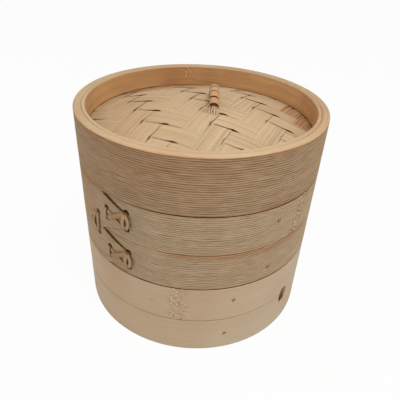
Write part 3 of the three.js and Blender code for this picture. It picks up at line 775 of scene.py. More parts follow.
def flushed(azimuth, height, run, flushes):
    """Strength of a hoop's reddish streaks: a bell curve of the height, round a height that wanders
    a little along the run, fading in and out over 12 degrees where the streak has ends."""
    red, wander, fade = 0, 0.4 * ripple(run, 0, 60.0, 9), 12
    for start, end, centre, wide, strength in flushes:
        middle, reach = (start + end) / 2, (end - start) / 2
        ends = 1 if reach >= 180 else smooth((reach - np.abs(turn(azimuth, middle))) / fade)
        red = np.maximum(red, strength * ends * np.exp(-((height - centre - wander) / wide) ** 2))
    return red


def saw_grooves(azimuth, height, run, spacing):
    """Depth, 0 to 1, of the lines that the band saw leaves round a hoop: a cosine of the height with
    uneven steps, which wander along the run, raised to a power that narrows them at the sides."""
    wobble = height + 0.3 * ripple(run, 0, 50.0, 3)
    phase = 2 * np.pi * wobble / spacing + 0.7 * np.sin(wobble / 1.7) + 0.5 * np.sin(wobble / 0.9)
    return (0.5 + 0.5 * np.cos(phase)) ** (1.5 + 2 * beside(azimuth))


def edge_tone(azimuth):
    """Reddish share of a sanded edge: none at the front, some at the sides and the back, and more
    towards the right and the back right."""
    front = turn(azimuth, 0)
    right = smooth((front - 60) / 30) * smooth((178 - front) / 15)
    return 0.3 * beside(azimuth) + 0.25 * right


def hoop_section(low, high, ease, high_ease, row, rim):
    """Closed section of a hoop from its foot up the outer face, over the top and down the inner one:
    its radius and height, 1 on the outer face and 0 elsewhere, the finish of each side of it, and how
    near each point is to the lower and the upper outer edge."""
    rows = np.linspace(low + ease, high - high_ease, int((high - low) / row))
    bend = np.radians([22.5, 45, 67.5])
    radius = np.concatenate([
        [HOOP_INNER, WALL - ease], WALL - ease + ease * np.cos(bend[::-1]), 0 * rows + WALL,
        WALL - high_ease + high_ease * np.cos(bend),
        [WALL - high_ease, (WALL + HOOP_INNER) / 2, HOOP_INNER + 0.3], np.full(4, HOOP_INNER),
    ])
    height = np.concatenate([
        [low, low], low + ease - ease * np.sin(bend[::-1]), rows,
        high - high_ease + high_ease * np.sin(bend), np.full(3, high),
        [high - 0.3, high * 0.7 + low * 0.3, high * 0.4 + low * 0.6, low + 0.3],
    ])
    first, last = 5, 5 + len(rows)
    outer, edges = np.zeros(len(radius)), np.zeros((2, len(radius)))
    outer[first - 3:last + 3] = 1
    edges[0, :first] = (0.8, 0.95, 1.0, 0.9, 0.6)
    edges[1, last:last + 6] = (0.0, 0.45, 0.9, 1.0, 1.0, 1.0)
    # the lid's rim is sanded from one row lower
    slots = np.zeros(len(radius), int)
    slots[:2] = slots[last - int(rim):-4] = 1
    slots[-4:] = 2
    return radius, height, outer, slots, edges


def hoop(sizes, name, tongue, gaps, shadows):
    """Surface of one of a body's hoops: a rounded section carried round the wall from the tongue's
    tip, its outer face lowered by the lap, the pits and the saw lines, and roughened at culm nodes.
    tongue is the heights of the hoop's edges over the foot, the lengths of the tongue's lower and
    upper edge, and the height of the tip's lower corner. gaps are those at the hoop's lower and upper
    edge, and shadows how dark those edges are and the azimuths between which they are darkest."""
    body, rim = BODIES[name], name == "lid"
    foot, tip, sawn = body["foot"], body["tip"], body["sawn"]
    holes = [hole for lace in stitches(name).values() for hole in lace["holes"]]
    bars = [] if rim else bar_ends(body["bars"])
    radius, height, outer, slots, edges = hoop_section(
        tongue[0] + gaps[0], tongue[1] - gaps[1], sizes.edge_ease / MM,
        (sizes.rim_ease if rim else sizes.edge_ease) / MM, SAWN_ROW if sawn else PLANED_ROW, rim)

    # stations round the wall, close together at pegs, slots, culm nodes and the tongue
    around = 2 * np.pi * WALL
    spots = [(place, 2.6) for place, _, _ in body["pegs"]] + [(place, 3.6) for place, _ in bars]
    spots += [(place, np.radians(half) * WALL + 2) for place, half, *_ in body["marks"]]
    spots = [(arc(place, tip) % around, half) for place, half in spots]
    tongue_middle, tongue_half = around - 12, 17
    along = spread(around, [*spots, (tongue_middle, tongue_half)], FINE_STEP, COARSE_STEP)[:, None]
    stations = tip + degrees_of(along)
    drop, crevice, on_tongue = lap(
        np.where(along > around / 2, along - around, along), height, tongue, sizes.lap_step / MM)
    # the grain runs on under the tongue: beside it, lengths count back from the tip
    run = np.where((along > around - TONGUE_REACH) & ~on_tongue, along - around, along)

    depth, dark = pits(stations, height, holes, body["pegs"], bars)
    mark = culm_nodes(stations, height, body["marks"])
    groove = saw_grooves(stations, height, run, sizes.saw_spacing / MM) * sawn
    rough = 0.12 * mark * (ripple(run, height, 1.5, 11) - 1)
    wavy = 0.04 * (ripple(run, height * 3, 60.0, 17) - 1)
    relief = np.minimum(rough + wavy - groove * sizes.saw_depth / MM - drop - depth, 0)
    points = on_wall(stations, radius + outer * relief, foot + height)

    # painted shadow along the hoop's lower and upper edges, where it meets the next hoop
    low_dark, high_dark, start, end = shadows
    front = turn(stations, 0)
    fade = 0.2 + 0.8 * smooth((front - start) / 25) * smooth((end - front) / 25)
    edge_dark = (edges[0] * low_dark + edges[1] * high_dark) * fade
    closing = np.where(on_tongue[-1:], around, 0.0)
    # the pits', the lap's and the edges' darkness all go on the points as painted shade
    return surface(
        points, around=True, slots=slots,
        uv=round_map(closed(np.concatenate([run, closing])), grid(radius, height), foot),
        tone=sawn * np.where(outer > 0, 0.05 * beside(stations), edge_tone(stations)),
        flush=flushed(stations, height, run, body["flushes"]) * outer, groove=groove * outer,
        mark=mark * outer, dirt=np.maximum(np.maximum(dark, crevice) * outer, edge_dark),
    )


class STEAMER_OT_hoops(bpy.types.Operator):
    """Outer hoops of both tiers and the lid, with lapped tongues, saw lines and lacing holes."""

    bl_idname = "steamer.hoops"
    bl_label = "Hoops"

    def execute(self, context):
        sizes, looks = context.scene.steamer_sizes, finishes(context)
        for name, body in BODIES.items():
            seam, top = body["seam"], body["top"]
            if name == "lid":
                tongue = (0, top, TONGUE_SEAM_EDGE, TONGUE_SEAM_EDGE, seam - TONGUE_TIP_HEIGHT / 2)
                hoops = {"hoop": (tongue, (STACK_GAP, 0), (0.9, 0.0, -50, 85))}
            else:
                high_tip = seam + TONGUE_TIP_INSET
                low_tip = seam - TONGUE_TIP_INSET - TONGUE_TIP_HEIGHT
                stands_on = STACK_GAP if body["foot"] else 0
                hoops = {
                    "upper_hoop": (
                        (seam, top, TONGUE_SEAM_EDGE, TONGUE_FREE_EDGE, high_tip),
                        (SEAM_GAP, STACK_GAP), (0.3, 0.95, -45, 85)),
                    "lower_hoop": (
                        (0, seam, TONGUE_FREE_EDGE, TONGUE_SEAM_EDGE, low_tip), (stands_on, SEAM_GAP),
                        (0.9, 0.6, -32, 85) if body["foot"] else (0.0, 0.4, -100, 85)),
                }
            skins = [looks[body["looks"]], looks["cut_edge"], looks["inner"]]
            for piece, (tongue, gaps, shadows) in hoops.items():
                part = hoop(sizes, name, tongue, gaps, shadows)
                build(f"{name}_{piece}", [part], skins, name)
        return {"FINISHED"}


# Bands and rings


def ring(outer, low, high, ease, marks):
    """A ring inside the wall with eased edges: a board section carried round, its inner face
    roughened at culm nodes (azimuth, half width in degrees)."""
    wide, tall = outer - BAND_INNER, high - low
    section = board(wide, tall, ease, 1)
    rows = np.linspace(-1, 1, 34)[1:-1] * (tall / 2 - ease)
    above = len(section) // 2
    loop = np.concatenate([
        grid(wide / 2, rows), section[:above], grid(-wide / 2, rows[::-1]), section[above:],
    ])
    across, up = loop.T
    around = 2 * np.pi * BAND_INNER
    spots = [(np.radians(azimuth) * BAND_INNER, np.radians(half) * BAND_INNER) for azimuth, half in marks]
    stations = np.degrees(spread(around, spots, 0.5, COARSE_STEP) / BAND_INNER)[:, None]
    inside = across < 0
    cloudy = smooth(0.5 + ripple(stations * 1.2, up * 2, 26.0, 23))
    back = smooth((np.abs(turn(stations, 0)) - 135) / 30)
    mark, tone = 0, 0.04 + 0.2 * cloudy * inside + 0.26 * back * inside
    for azimuth, half in marks:
        apart = np.abs(turn(stations, azimuth)) / half
        mark = np.maximum(mark, smooth(1.4 - apart * 1.2))
        tone = tone + 0.22 * np.exp(-((apart - 2.3) / 1.0) ** 2) * inside
    mark = 0.6 * mark * inside
    slots = np.where(np.abs(up) > tall / 2 - ease - 0.01, 1, 0)
    radius = (BAND_INNER + outer) / 2 + across + 0.1 * mark * ripple(stations * 1.2, up, 1.5, 21)
    run = np.concatenate([np.radians(stations) * BAND_INNER, [[around]]])
    return surface(
        on_wall(stations, radius, (low + high) / 2 + up), around=True, uv=round_map(run, loop, low),
        slots=slots, mark=mark, tone=np.where(slots == 1, edge_tone(stations), tone),
    )


class STEAMER_OT_bands(bpy.types.Operator):
    """Inner bands, base rings and the lid's lower ring."""

    bl_idname = "steamer.bands"
    bl_label = "Bands and rings"

    def execute(self, context):
        ease, looks = context.scene.steamer_sizes.edge_ease / MM, finishes(context)
        rings = []
        for name in TIERS:
            foot, top = BODIES[name]["foot"], BODIES[name]["top"]
            rings += [
                (name, "inner_band", BAND_OUTER, foot + FLOOR_TOP + FIT, foot + top + SPIGOT, [(-60, 3)]),
                (name, "base_ring", BAND_OUTER, foot + RING_FOOT, foot + FLOOR_UNDERSIDE - FIT, []),
            ]
        rings += [
            ("lid", "inner_band", BAND_OUTER + 0.2, PANEL_TOP + 0.1, LID_TOP, [(-171, 5.5), (100, 3)]),
            ("lid", "lower_ring", BAND_OUTER, LID_RING_FOOT, PANEL_UNDERSIDE - FIT, []),
        ]
        for name, piece, outer, low, high, marks in rings:
            part = ring(outer, low, high, ease, marks)
            build(f"{name}_{piece}", [part], [looks["inner"], looks["cut_edge"]], name)
        return {"FINISHED"}


# Floors


def turned_about_z(degrees, x, y, z):
    """Points at x, y and z, turned anticlockwise about the upright axis."""
    c, s = np.cos(np.radians(degrees)), np.sin(np.radians(degrees))
    return grid(x * c - y * s, x * s + y * c, z)


def crossbar(offset, foot, turned, seed):
    """A split culm on edge: a lens section carried along y, widened at its ends, which follow the
    wall: y = t * sqrt(R² - x²), with R a little inside the wall."""
    up = np.concatenate([np.linspace(-1, 1, 9), np.linspace(1, -1, 9)])
    side = np.repeat([1, -1], 9)
    half = BAR_EDGE / 2 + (BAR_THICKNESS - BAR_EDGE) / 2 * (1 - up ** 2)
    x = offset + side * half
    z = foot + BAR_RISE + BAR_HEIGHT / 2 * (1 + up)
    t = np.concatenate([[-1, -0.995, -0.985], np.linspace(-0.96, 0.96, 60), [0.985, 0.995, 1]])[:, None]
    reach = WALL - 0.45 + 0.3 * ripple(x * 4, z * 4, 3.0, seed)
    y = t * np.sqrt(reach ** 2 - x ** 2)
    x = offset + (x - offset) * (1 + 0.4 * smooth((np.abs(t) - 0.95) / 0.03))
    rough = 0.07 * ripple(y, z * 6, 9.0, seed) * side
    # the ends, sunk in their slots, are darkened as painted shade: unevenly, more on the lower half and on
    # one face
    end_shade = 0.05 + 0.3 * smooth(ripple(x * 3, z * 1.2, 2.6, seed + 5))
    end_shade = end_shade + 0.25 * smooth(-up) + 0.35 * (side * t > 0)
    return surface(
        turned_about_z(turned, x + rough, y, z), dirt=end_shade * smooth((np.abs(t) - 0.97) / 0.02))


def slat(middle, foot, turned, seed):
    """A floor slat: a board section carried along x, its ends following the base ring:
    x = t * sqrt(R² - y²), with a raised culm node across most slats."""
    dice = np.random.default_rng(seed)
    section = board(SLAT_WIDTH, SLAT_THICKNESS, 0.45, 8)
    reach = BAND_OUTER - 0.15
    t = np.linspace(-1, 1, 90)[:, None]
    y = middle + section[:, 0] * (1 + 0.012 * ripple(t * 60, 0, 40.0, seed))
    x = t * np.sqrt(reach ** 2 - y ** 2)
    mark = np.exp(-((x - dice.uniform(-50, 50)) / 1.6) ** 2) * (dice.random() < 0.6)
    z = foot + FLOOR_UNDERSIDE + SLAT_THICKNESS / 2 + section[:, 1] + 0.25 * mark * np.sign(section[:, 1])
    return surface(
        turned_about_z(turned, x, y, z), mark=mark, lines=dice.uniform(0.1, 0.9),
        tone=max(0.0, dice.normal(0.05, 0.12)),
    )


class STEAMER_OT_floors(bpy.types.Operator):
    """Crossbars and floor slats of both tiers."""

    bl_idname = "steamer.floors"
    bl_label = "Floors"

    def execute(self, context):
        looks = finishes(context)
        for order, name in enumerate(TIERS):
            foot, turned = BODIES[name]["foot"], BODIES[name]["bars"]
            for k, offset in enumerate((-BAR_OFFSET, BAR_OFFSET)):
                part = crossbar(offset, foot, turned, 31 + 2 * order + k)
                build(f"{name}_crossbar_{k + 1}", [part], [looks["bars"]], name)
            for k in range(-SLATS_A_SIDE, SLATS_A_SIDE + 1):
                part = slat(k * SLAT_PITCH, foot, turned, 50 + 10 * order + k)
                build(f"{name}_slat_{k + SLATS_A_SIDE + 1}", [part], [looks["slats"]], name)
        return {"FINISHED"}


# Woven panel and ribs


def over_under(phase, reach):
    """+1 on the first half of a repeat of 4 cells and -1 on the second, turned over smoothly within
    reach of each crossing: sin of the distance to the nearest crossing, clipped."""
    phase = phase % 4
    apart = np.where(phase < 2, np.minimum(phase, 2 - phase), -np.minimum(phase - 2, 4 - phase))
    return np.sin(np.pi / 2 * np.clip(apart / reach, -1, 1))


def strip(is_down, number, tone, brown=0, *, level, thickness, rise, gap, step, columns, sight, seed):
    """One strip of a mat. Along it, its height over the dome follows over_under; across it, a
    crowned board section between two edges, and the edge that is seen draws in where two strips
    turn past each other. tone is its reddish share, and brown a further one towards its back end.

    The named values belong to the whole mat: level is its height over the panel's top, step the
    distance between points along a strip, columns the steps across one, and sight is 1 for a mat
    seen from above and -1 for one seen from below."""
    seed = seed + number + (0 if is_down else 40)
    dice = np.random.default_rng(seed)
    if is_down:
        pitch, middle = DOWN_PITCH, DOWN_FIRST + (number + 0.5) * DOWN_PITCH
    else:
        pitch, middle = CROSS_PITCH, CROSS_FIRST - (number + 0.5) * CROSS_PITCH
    limit = BAND_INNER + 1.3
    section = board(2.0, thickness, thickness * 0.3, columns, crown=0.07, bends=2)
    across = section[:, 0] / np.abs(section[:, 0]).max()

    def cells(run):
        """Cells along the strip from where it comes up: it is on top from 0 to 2 of every 4."""
        if is_down:
            return ((CROSS_FIRST - run) / CROSS_PITCH - number) % 4
        return ((run - DOWN_FIRST) / DOWN_PITCH - number - 1) % 4

    longest = np.sqrt(limit ** 2 - min(max(abs(middle) - pitch / 2, 0), limit - 1) ** 2)
    t = np.linspace(-1, 1, int(2 * longest / step) + 3)[:, None]
    pinch = 1.0 if is_down else 1.12
    draw = dice.uniform(0.35, 0.75) * np.exp(-((cells(t * longest) - pinch) / 0.17) ** 2)
    centre = middle + 0.12 * ripple(t * longest, 0, 34.0, seed)
    hidden = pitch / 2 - gap / 2 + 0.15
    seen = pitch / 2 - gap / 2 - draw + 0.08 * ripple(t * longest, 0, 21.0, seed + 1)
    low, high = (hidden, seen) if is_down else (seen, hidden)
    low, high = (np.clip(edge, 0.4 - limit, limit - 0.4) for edge in (centre - low, centre + high))
    aside = low + (across + 1) / 2 * (high - low)
    run = t * np.sqrt(limit ** 2 - aside ** 2)
    cell = cells(run)
    wave = over_under(cell, 0.2)
    bow = 0.08 * np.sin(np.pi * np.clip(cell, 0, 2) / 2)
    a, b = (aside, run) if is_down else (run, aside)
    x = a * np.cos(WEAVE_TURN) + b * np.sin(WEAVE_TURN)
    y = -a * np.sin(WEAVE_TURN) + b * np.cos(WEAVE_TURN)
    z = PANEL_TOP + dome(np.hypot(x, y)) + level + rise * wave + bow + section[:, 1]

    # painted shade: on the parts that pass under, on the seen edge up to the turn and a little past it,
    # and in the corner where the weave meets the band
    under = 0.95 * smooth((-sight * wave - 0.15) / 0.5)
    facing = across if is_down else -across
    length = smooth(cell / 0.2) * smooth((1.42 - cell) / 0.25)
    wedge = 0.01 if is_down else 0.04 * smooth(cell / 1.3)
    uneven = 0.75 + 0.25 * ripple(run, 0, 30.0, seed + 2)
    shadow = 0.1 + (0.62 if is_down else 0.95) * length * uneven
    edge_dark = shadow * smooth((facing - 0.96 + wedge) / 0.035)
    soft = 0.2 * smooth((facing - 0.8) / 0.2) * np.exp(-((cell - 1.1) / 0.2) ** 2)
    corner = 0.5 * smooth((np.hypot(x, y) - BAND_INNER + 0.8) / 0.8)

    lines = max(dice.choice([0.3, 0.6, 0.8, 1.0]), brown)
    # brown strips redden towards their back end; the other terms are painted shade, which reddens and
    # darkens the weave towards the back, and most at the back left
    tone = tone + brown * smooth((run - 8) / 12) + 0.8 * smooth((y - 26) / 20) * smooth((16 - x) / 20)
    tone = tone + 0.2 * smooth((y + 30) / 50)
    return surface(
        grid(x, y, z), uv=grid(closed(run), closed(aside)) + dice.uniform(0, (900, 90)), tone=tone,
        lines=lines, dirt=np.maximum(np.maximum(under, corner), edge_dark + soft),
    )


def rib(middle):
    """A bent rib under the dome: a board section carried along x, x = t * end, its top following
    the underside of the dome at whichever long edge lies lower."""
    edge = abs(middle) + RIB_WIDTH / 2
    end = np.sqrt((BAND_OUTER - FIT) ** 2 - edge ** 2)
    bend = np.sqrt(DOME_RADIUS ** 2 - edge ** 2)
    section = board(RIB_WIDTH, RIB_THICKNESS, 0.4, 6)
    x = np.concatenate([[-end], np.linspace(-bend, bend, 70), [end]])[:, None]
    top = PANEL_UNDERSIDE - FIT + dome(np.hypot(x, edge))
    z = top - RIB_THICKNESS / 2 + section[:, 1]
    return surface(grid(x, middle + section[:, 0], z), lines=0.6)


class STEAMER_OT_panel(bpy.types.Operator):
    """Woven panel of the lid, as an outer and an inner mat of split strips, and its two ribs."""

    bl_idname = "steamer.panel"
    bl_label = "Woven panel"

    def execute(self, context):
        sizes, looks = context.scene.steamer_sizes, finishes(context)
        mats = {
            "lid_weave_outer": dict(
                level=-0.72, thickness=sizes.strip_thickness / MM, rise=sizes.strip_rise / MM,
                gap=sizes.strip_gap / MM, step=0.85, columns=9, sight=1, seed=100),
            "lid_weave_inner": dict(
                level=-1.94, thickness=0.4, rise=0.24, gap=0.3, step=1.7, columns=3, sight=-1, seed=300),
        }
        for name, mat in mats.items():
            parts = [
                strip(True, k, DOWN_TONES.get(k, PLAIN_TONE), BROWN_STRIPS.get(k, 0), **mat)
                for k in DOWN_STRIPS
            ]
            parts += [strip(False, k, CROSS_TONES.get(k, PLAIN_TONE), **mat) for k in CROSS_STRIPS]
            build("lid_woven_panel", parts, [looks["woven"]], "lid", name=name)
        for k, side in enumerate((-1, 1)):
            part = rib(HANDLE_CENTRE + side * HANDLE_HALF)
            build(f"lid_rib_{k + 1}", [part], [looks["slats"]], "lid")
        return {"FINISHED"}


# Handle


def handle_path(count):
    """Middle line of the cane loop: a parabola between its feet, and straight legs below them."""
    feet = PANEL_TOP + dome(np.hypot(HANDLE_X, HANDLE_HALF))
    across = np.array([-1, -1, -0.75, -0.4, 0, 0.4, 0.75, 1, 1])
    height = feet + HANDLE_ARCH * (1 - across ** 2)
    height[[0, -1]] -= CORE_LEG
    return curve_through(grid(HANDLE_X, HANDLE_CENTRE + across * HANDLE_HALF, height), count)


def winding():
    """Flat cane wound round the loop: ring k lies pitch * k / steps along it, turned by one full
    turn for each pitch, and gains most of that on the loop's underside, as a cosine of the turn. Its
    width is taken along the loop. Both ends drop to the panel."""
    path, sideways, steps = handle_path(600), np.array([1.0, 0, 0]), 40
    run = length_along(path)
    outward = np.cross(sideways, unit(np.gradient(path, axis=0)))
    section = board(WINDING_PITCH - 0.5, WINDING_THICKNESS * 0.8, 0.25, 6, crown=0.22, bends=2)
    start = (run[-1] - WINDING_PITCH * WINDING_TURNS) / 2
    number = np.arange(int(WINDING_TURNS * steps) + 1.0)[:, None]
    angle = 2 * np.pi * number / steps
    wander = 0.22 * ripple(number, 0, 90.0, 61)
    level = WINDING_PITCH * 0.11 * np.cos(angle)
    place = start + WINDING_PITCH * number / steps + section[:, 0] + wander + level
    radius = CORE_RADIUS + FIT + WINDING_THICKNESS / 2 + section[:, 1]
    middle, up = (
        grid(*(np.interp(place, run, value) for value in values.T)) for values in (path, outward))
    out, over = (radius * np.cos(angle))[..., None], (radius * np.sin(angle))[..., None]
    coils = middle + out * sideways + over * up

    def tail(coil, side):
        """Sections from a coil's end down to the panel, turning to stand square on it."""
        centre = coil.mean(0)
        seat = PANEL_TOP + dome(np.hypot(centre[0], centre[1])) - 0.6
        square = centre + grid(side * section[:, 1], section[:, 0], 0)
        share = np.linspace(0, 1, 9)[1:, None, None]
        drop = (centre[2] - seat) * share ** 1.3
        turned = smooth(share * 2)
        return coil * (1 - turned) + square * turned - drop * np.array([0, 0, 1.0])

    points = np.concatenate([tail(coils[0], 1)[::-1], coils, tail(coils[-1], -1)])
    # each coil's edges are darkened as painted shade in the gaps between coils
    edge = smooth((np.abs(section[:, 0]) / np.abs(section[:, 0]).max() - 0.86) / 0.12)
    return surface(points, dirt=0.6 * edge)


def frayed_leg(seed):
    """Slivers that the cane loop splits into below the winding, splayed on to the weave: each is a
    thin strip along a curve from the loop's underside to a foot beside it."""
    dice = np.random.default_rng(seed)
    parts, count = [], 26
    for aside in SLIVERS:
        foot_x = HANDLE_X + aside + dice.uniform(-0.3, 0.3)
        foot_y = HANDLE_CENTRE - HANDLE_HALF - 2.2 + 1.1 * abs(aside) / 3 + dice.uniform(-1.4, 1.4)
        weave = PANEL_TOP + dome(np.hypot(foot_x, foot_y))
        bend_x = HANDLE_X + aside * 0.8 + dice.uniform(-0.2, 0.2)
        path = curve_through([
            (HANDLE_X + aside * 0.4, SLIVER_TOP[0], SLIVER_TOP[1] - 0.1 * aside ** 2),
            (bend_x, SLIVER_BEND[0], SLIVER_BEND[1] - 0.12 * aside ** 2),
            (foot_x - aside * 0.06, foot_y + 1.2, weave + dice.uniform(0.9, 1.5)),
            (foot_x, foot_y, weave - 0.6),
        ], count)
        section = oval(dice.uniform(0.8, 1.15), 0.4, 8)
        # painted shade on each sliver's underside and where it leaves the winding
        below = smooth(section[:, 1] / 0.15)
        dirt = np.maximum(0.5 * smooth(1 - np.arange(count) / 6)[:, None], 0.45 * below)
        side = np.array([[1.0, 0.15 * aside, 0.2 * aside]])
        parts.append(surface(swept(path, section, side), lines=0.5, dirt=dirt, slots=1))
    return parts


def cane_head(end):
    """The head that holds a leg of the cane under its rib: circles of changing radius, stacked up."""
    x, y = oval(2, 2, 18, power=2).T
    radius = np.array(HEAD_RADII)[:, None]
    rise = np.linspace(0, HEAD_HEIGHT, len(radius))[:, None]
    return surface(end + grid(x * radius, y * radius, rise))


class STEAMER_OT_handle(bpy.types.Operator):
    """Cane loop of the lid's handle, its frayed near leg and its winding."""

    bl_idname = "steamer.handle"
    bl_label = "Handle"

    def execute(self, context):
        looks = finishes(context)
        path = handle_path(90)
        whole = swept(path, oval(2 * CORE_RADIUS, 2 * CORE_RADIUS, 16, power=2), np.array([[1.0, 0, 0]]))
        # the loop from inside the winding to the far foot, and the near leg below the frayed part
        above = whole[np.argmax(path[:, 1] > -12.0):]
        below = whole[:np.argmax(path[:, 2] > PANEL_TOP + 9.0)]
        # the near part of the loop is darkened as painted shade, where the core shows under the coils
        parts = [surface(above, dirt=0.25 * smooth((HANDLE_CENTRE - above[..., 1]) / 4)), surface(below)]
        parts += [cane_head(path[0]), cane_head(path[-1]), *frayed_leg(71)]
        build("handle_core", parts, [looks["cane"], looks["woven"]], "lid")
        build("handle_winding", [winding()], [looks["winding"]], "lid")
        return {"FINISHED"}


# Lacing and pegs


def strand(start, end, bulge, lift, width, foot, seed):
    """A strand of split cane over the wall: azimuth and height run straight from hole to hole,
    pushed aside by bulge * sin(pi t), lifted by lift * sin(pi t), and its ends dive into the holes."""
    dice = np.random.default_rng(seed)
    dive = 0.12
    t = np.concatenate([
        np.linspace(0, dive, 8)[:-1], np.linspace(dive, 1 - dive, 24), np.linspace(1 - dive, 1, 8)[1:],
    ])
    swell, to_end = np.sin(np.pi * t), np.minimum(t, 1 - t)
    azimuth = start[0] + (end[0] - start[0]) * t + degrees_of(bulge * swell)
    height = foot + start[1] + (end[1] - start[1]) * t
    radius = WALL + 0.3 + lift * swell + 0.25 * np.sqrt(swell) - CANE_DIVE * smooth(1 - to_end / dive)
    path = on_wall(azimuth, radius, height)
    side = unit(np.cross(on_wall(azimuth, 1.0, 0.0), unit(path[-1:] - path[:1])))
    section = board(width, CANE_THICKNESS, 0.22, 4, crown=0.12, bends=2)
    narrow = 1 - 0.45 * smooth(1 - to_end / 0.22)
    ribbon = path[:, None] + (swept(path, section, side) - path[:, None]) * narrow[:, None, None]
    # painted shade along the strand's edges and where it dives into its holes
    edge = 0.4 * smooth((np.abs(section[:, 0]) / (width / 2) - 0.72) / 0.26)
    dirt = np.maximum(0.75 * smooth(1 - to_end / 0.18)[:, None], edge)
    made = surface(ribbon, dirt=dirt, tone=dice.uniform(0, 0.1))
    made["uv"] = made["uv"] + dice.uniform(0, 500)
    return made


class STEAMER_OT_lacing(bpy.types.Operator):
    """Cane lacing of the tiers and the lid."""

    bl_idname = "steamer.lacing"
    bl_label = "Lacing"

    def execute(self, context):
        looks = finishes(context)
        seed = 400
        for name, body in BODIES.items():
            for lace, plan in stitches(name).items():
                parts = [strand(*line, body["foot"], seed + k) for k, line in enumerate(plan["strands"])]
                seed += len(parts)
                build(f"{name}_{lace}", parts, [looks["cane"]], name)
        return {"FINISHED"}


def peg(azimuth, height):
    """A square peg set on its corner: a diamond section carried from the band's inner face to just
    proud of the hoop, with its head's edges eased."""
    blunt = 0.52
    corner = np.array([[1, 0], [blunt, blunt], [0, 1], [-blunt, blunt]])
    corner = np.concatenate([corner, -corner])
    head = WALL + PEG_PROUD
    radius = np.array([BAND_INNER, 71, 74, head - 0.25, head - 0.08, head])[:, None]
    half = np.array([1, 1, 1, 1, 0.93, 0.75])[:, None] * PEG_HALF_DIAGONAL
    points = on_wall(azimuth + degrees_of(half * corner[:, 0]), radius, height + half * corner[:, 1])
    # the shank below the wall's face is darkened as painted shade in its socket
    return surface(points, dirt=np.where(radius > WALL, 0.0, 0.4))


class STEAMER_OT_pegs(bpy.types.Operator):
    """Bamboo pegs that pin the hoops to the bands."""

    bl_idname = "steamer.pegs"
    bl_label = "Pegs"

    def execute(self, context):
        looks = finishes(context)
        for name, body in BODIES.items():
            for k, (azimuth, height, shadow) in enumerate(body["pegs"]):
                finish = looks["pegs" if shadow > 0.5 else "cut_edge"]
                build(f"{name}_peg_{k + 1}", [peg(azimuth, body["foot"] + height)], [finish], name)
        return {"FINISHED"}


# Stage


def seen_directly(tree):
    """1 for rays from the camera and for reflected and transmitted ones, 0 for the rest."""
    rays = node(tree, "LightPath").outputs
    seen = rays["Is Camera Ray"]
    for kind in ("Is Glossy Ray", "Is Transmission Ray"):
        seen = node(tree, "Math", {0: seen, 1: rays[kind]}, operation="MAXIMUM").outputs[0]
    return seen


def aimed(pan, tilt, roll):
    """Right, up and back axes of a camera that looks along +Y, then turns by pan degrees towards +X,
    tilts up, and rolls with its right side going up."""
    pan, tilt, roll = np.radians((pan, tilt, roll))
    ahead = np.array((np.sin(pan) * np.cos(tilt), np.cos(pan) * np.cos(tilt), np.sin(tilt)))
    level = np.array((np.cos(pan), -np.sin(pan), 0))
    right = level * np.cos(roll) + np.cross(level, ahead) * np.sin(roll)
    return right, np.cross(right, ahead), -ahead


def stand(thing, place, right, up, back):
    """Puts a lamp or the camera at a place in metres, by its own axes."""
    axes = np.stack([right, up, back], 1)
    thing.matrix_world = Matrix.Translation(place) @ Matrix(axes.tolist()).to_4x4()


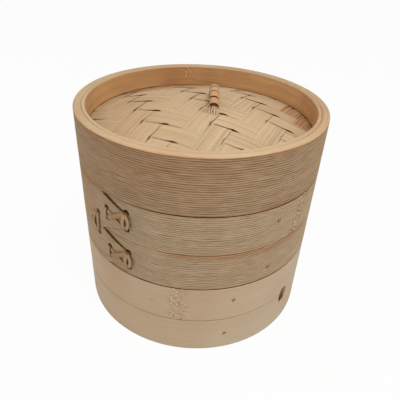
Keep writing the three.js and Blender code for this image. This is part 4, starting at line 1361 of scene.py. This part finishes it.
class STEAMER_OT_stage(bpy.types.Operator):
    """Pale floor, soft studio light and the photograph's camera."""

    bl_idname = "steamer.stage"
    bl_label = "Stage"

    def execute(self, context):
        scene = context.scene
        wide, low = 3.0, -0.1 * MM
        mesh = bpy.data.meshes.new("floor")
        corners = [(-wide, -wide, low), (wide, -wide, low), (wide, wide, low), (-wide, wide, low)]
        mesh.from_pydata(corners, [], [(0, 1, 2, 3)])
        added("floor", mesh)
        # matt white paper, seen nearly white, which still takes the object's shadow
        paper = bpy.data.materials.new("white paper sweep")
        paper.use_nodes = True
        tree = paper.node_tree
        tree.nodes.clear()
        matt = node(tree, "BsdfDiffuse", {"Color": (0.82, 0.81, 0.79, 1)})
        glow = node(tree, "Emission", {"Color": (1, 1, 1, 1), "Strength": 1.0})
        share = node(tree, "Math", {0: seen_directly(tree), 1: 0.95}, operation="MULTIPLY")
        mixed = node(tree, "MixShader", {0: share.outputs[0], 1: matt.outputs[0], 2: glow.outputs[0]})
        # from below, the floor is clear, so that the foot can be seen
        clear = node(tree, "BsdfTransparent")
        below = node(tree, "NewGeometry").outputs["Backfacing"]
        mixed = node(tree, "MixShader", {0: below, 1: mixed.outputs[0], 2: clear.outputs[0]})
        node(tree, "OutputMaterial", {"Surface": mixed.outputs[0]})
        mesh.materials.append(paper)

        world = bpy.data.worlds.new("studio")
        scene.world = world
        world.use_nodes = True
        tree = world.node_tree
        tree.nodes.clear()
        soft = node(tree, "Background", {"Color": (1.0, 0.97, 0.92, 1), "Strength": 0.57})
        white = node(tree, "Background", {"Color": (1, 1, 1, 1), "Strength": 1.0})
        mixed = node(tree, "MixShader", {0: seen_directly(tree), 1: soft.outputs[0], 2: white.outputs[0]})
        node(tree, "OutputWorld", {"Surface": mixed.outputs[0]})

        # softboxes: place and size in metres, and watts; each faces the object's middle
        middle = np.array((0, 0, 0.08))
        for name, place, size, power in (
            ("key softbox", (0.12, -0.25, 0.64), 0.22, 1.55),
            ("left softbox", (-0.85, -0.4, 0.7), 0.9, 1.65),
            ("right softbox", (0.85, -0.4, 0.7), 0.9, 1.6),
        ):
            light = bpy.data.lights.new(name, "AREA")
            light.shape = "SQUARE"
            light.size = size
            light.energy = power
            back = unit(place - middle)
            side = unit(np.cross((0, 0, 1.0), back))
            stand(added(name, light), place, side, np.cross(back, side), back)

        lens = bpy.data.cameras.new("camera")
        lens.lens = CAMERA_LENS
        lens.sensor_width = CAMERA_SENSOR
        lens.clip_start = 0.01
        scene.camera = added("camera", lens)
        axes = aimed(CAMERA_PAN, CAMERA_TILT, CAMERA_ROLL)
        stand(scene.camera, (0, -CAMERA_FORWARD * MM, CAMERA_HEIGHT * MM), *axes)
        scene.view_settings.view_transform = "Standard"
        return {"FINISHED"}


class STEAMER_PT_panel(bpy.types.Panel):
    """The steamer's operators and properties, in the 3D view's sidebar."""

    bl_idname = "STEAMER_PT_panel"
    bl_label = "Bamboo steamer"
    bl_space_type = "VIEW_3D"
    bl_region_type = "UI"
    bl_category = "Steamer"

    def draw(self, context):
        layout = self.layout
        for operator in PIECES:
            layout.operator(operator.bl_idname)
        for group in (context.scene.steamer_sizes, context.scene.steamer_colours):
            box = layout.box()
            for key in group.__annotations__:
                box.prop(group, key)


PIECES = (
    STEAMER_OT_hoops, STEAMER_OT_bands, STEAMER_OT_floors, STEAMER_OT_panel, STEAMER_OT_handle,
    STEAMER_OT_lacing, STEAMER_OT_pegs, STEAMER_OT_stage,
)
CLASSES = (SteamerSizes, SteamerColours, *PIECES, STEAMER_PT_panel)


def register():
    """Adds the classes, and the sizes and colours of each scene."""
    for each in CLASSES:
        bpy.utils.register_class(each)
    bpy.types.Scene.steamer_sizes = PointerProperty(type=SteamerSizes)
    bpy.types.Scene.steamer_colours = PointerProperty(type=SteamerColours)


def unregister():
    """Takes away what register adds."""
    del bpy.types.Scene.steamer_colours
    del bpy.types.Scene.steamer_sizes
    for each in reversed(CLASSES):
        bpy.utils.unregister_class(each)


def main():
    """Builds the steamer and its stage."""
    register()
    bpy.ops.steamer.hoops()
    bpy.ops.steamer.bands()
    bpy.ops.steamer.floors()
    bpy.ops.steamer.panel()
    bpy.ops.steamer.handle()
    bpy.ops.steamer.lacing()
    bpy.ops.steamer.pegs()
    bpy.ops.steamer.stage()


if __name__ == "__main__":
    main()
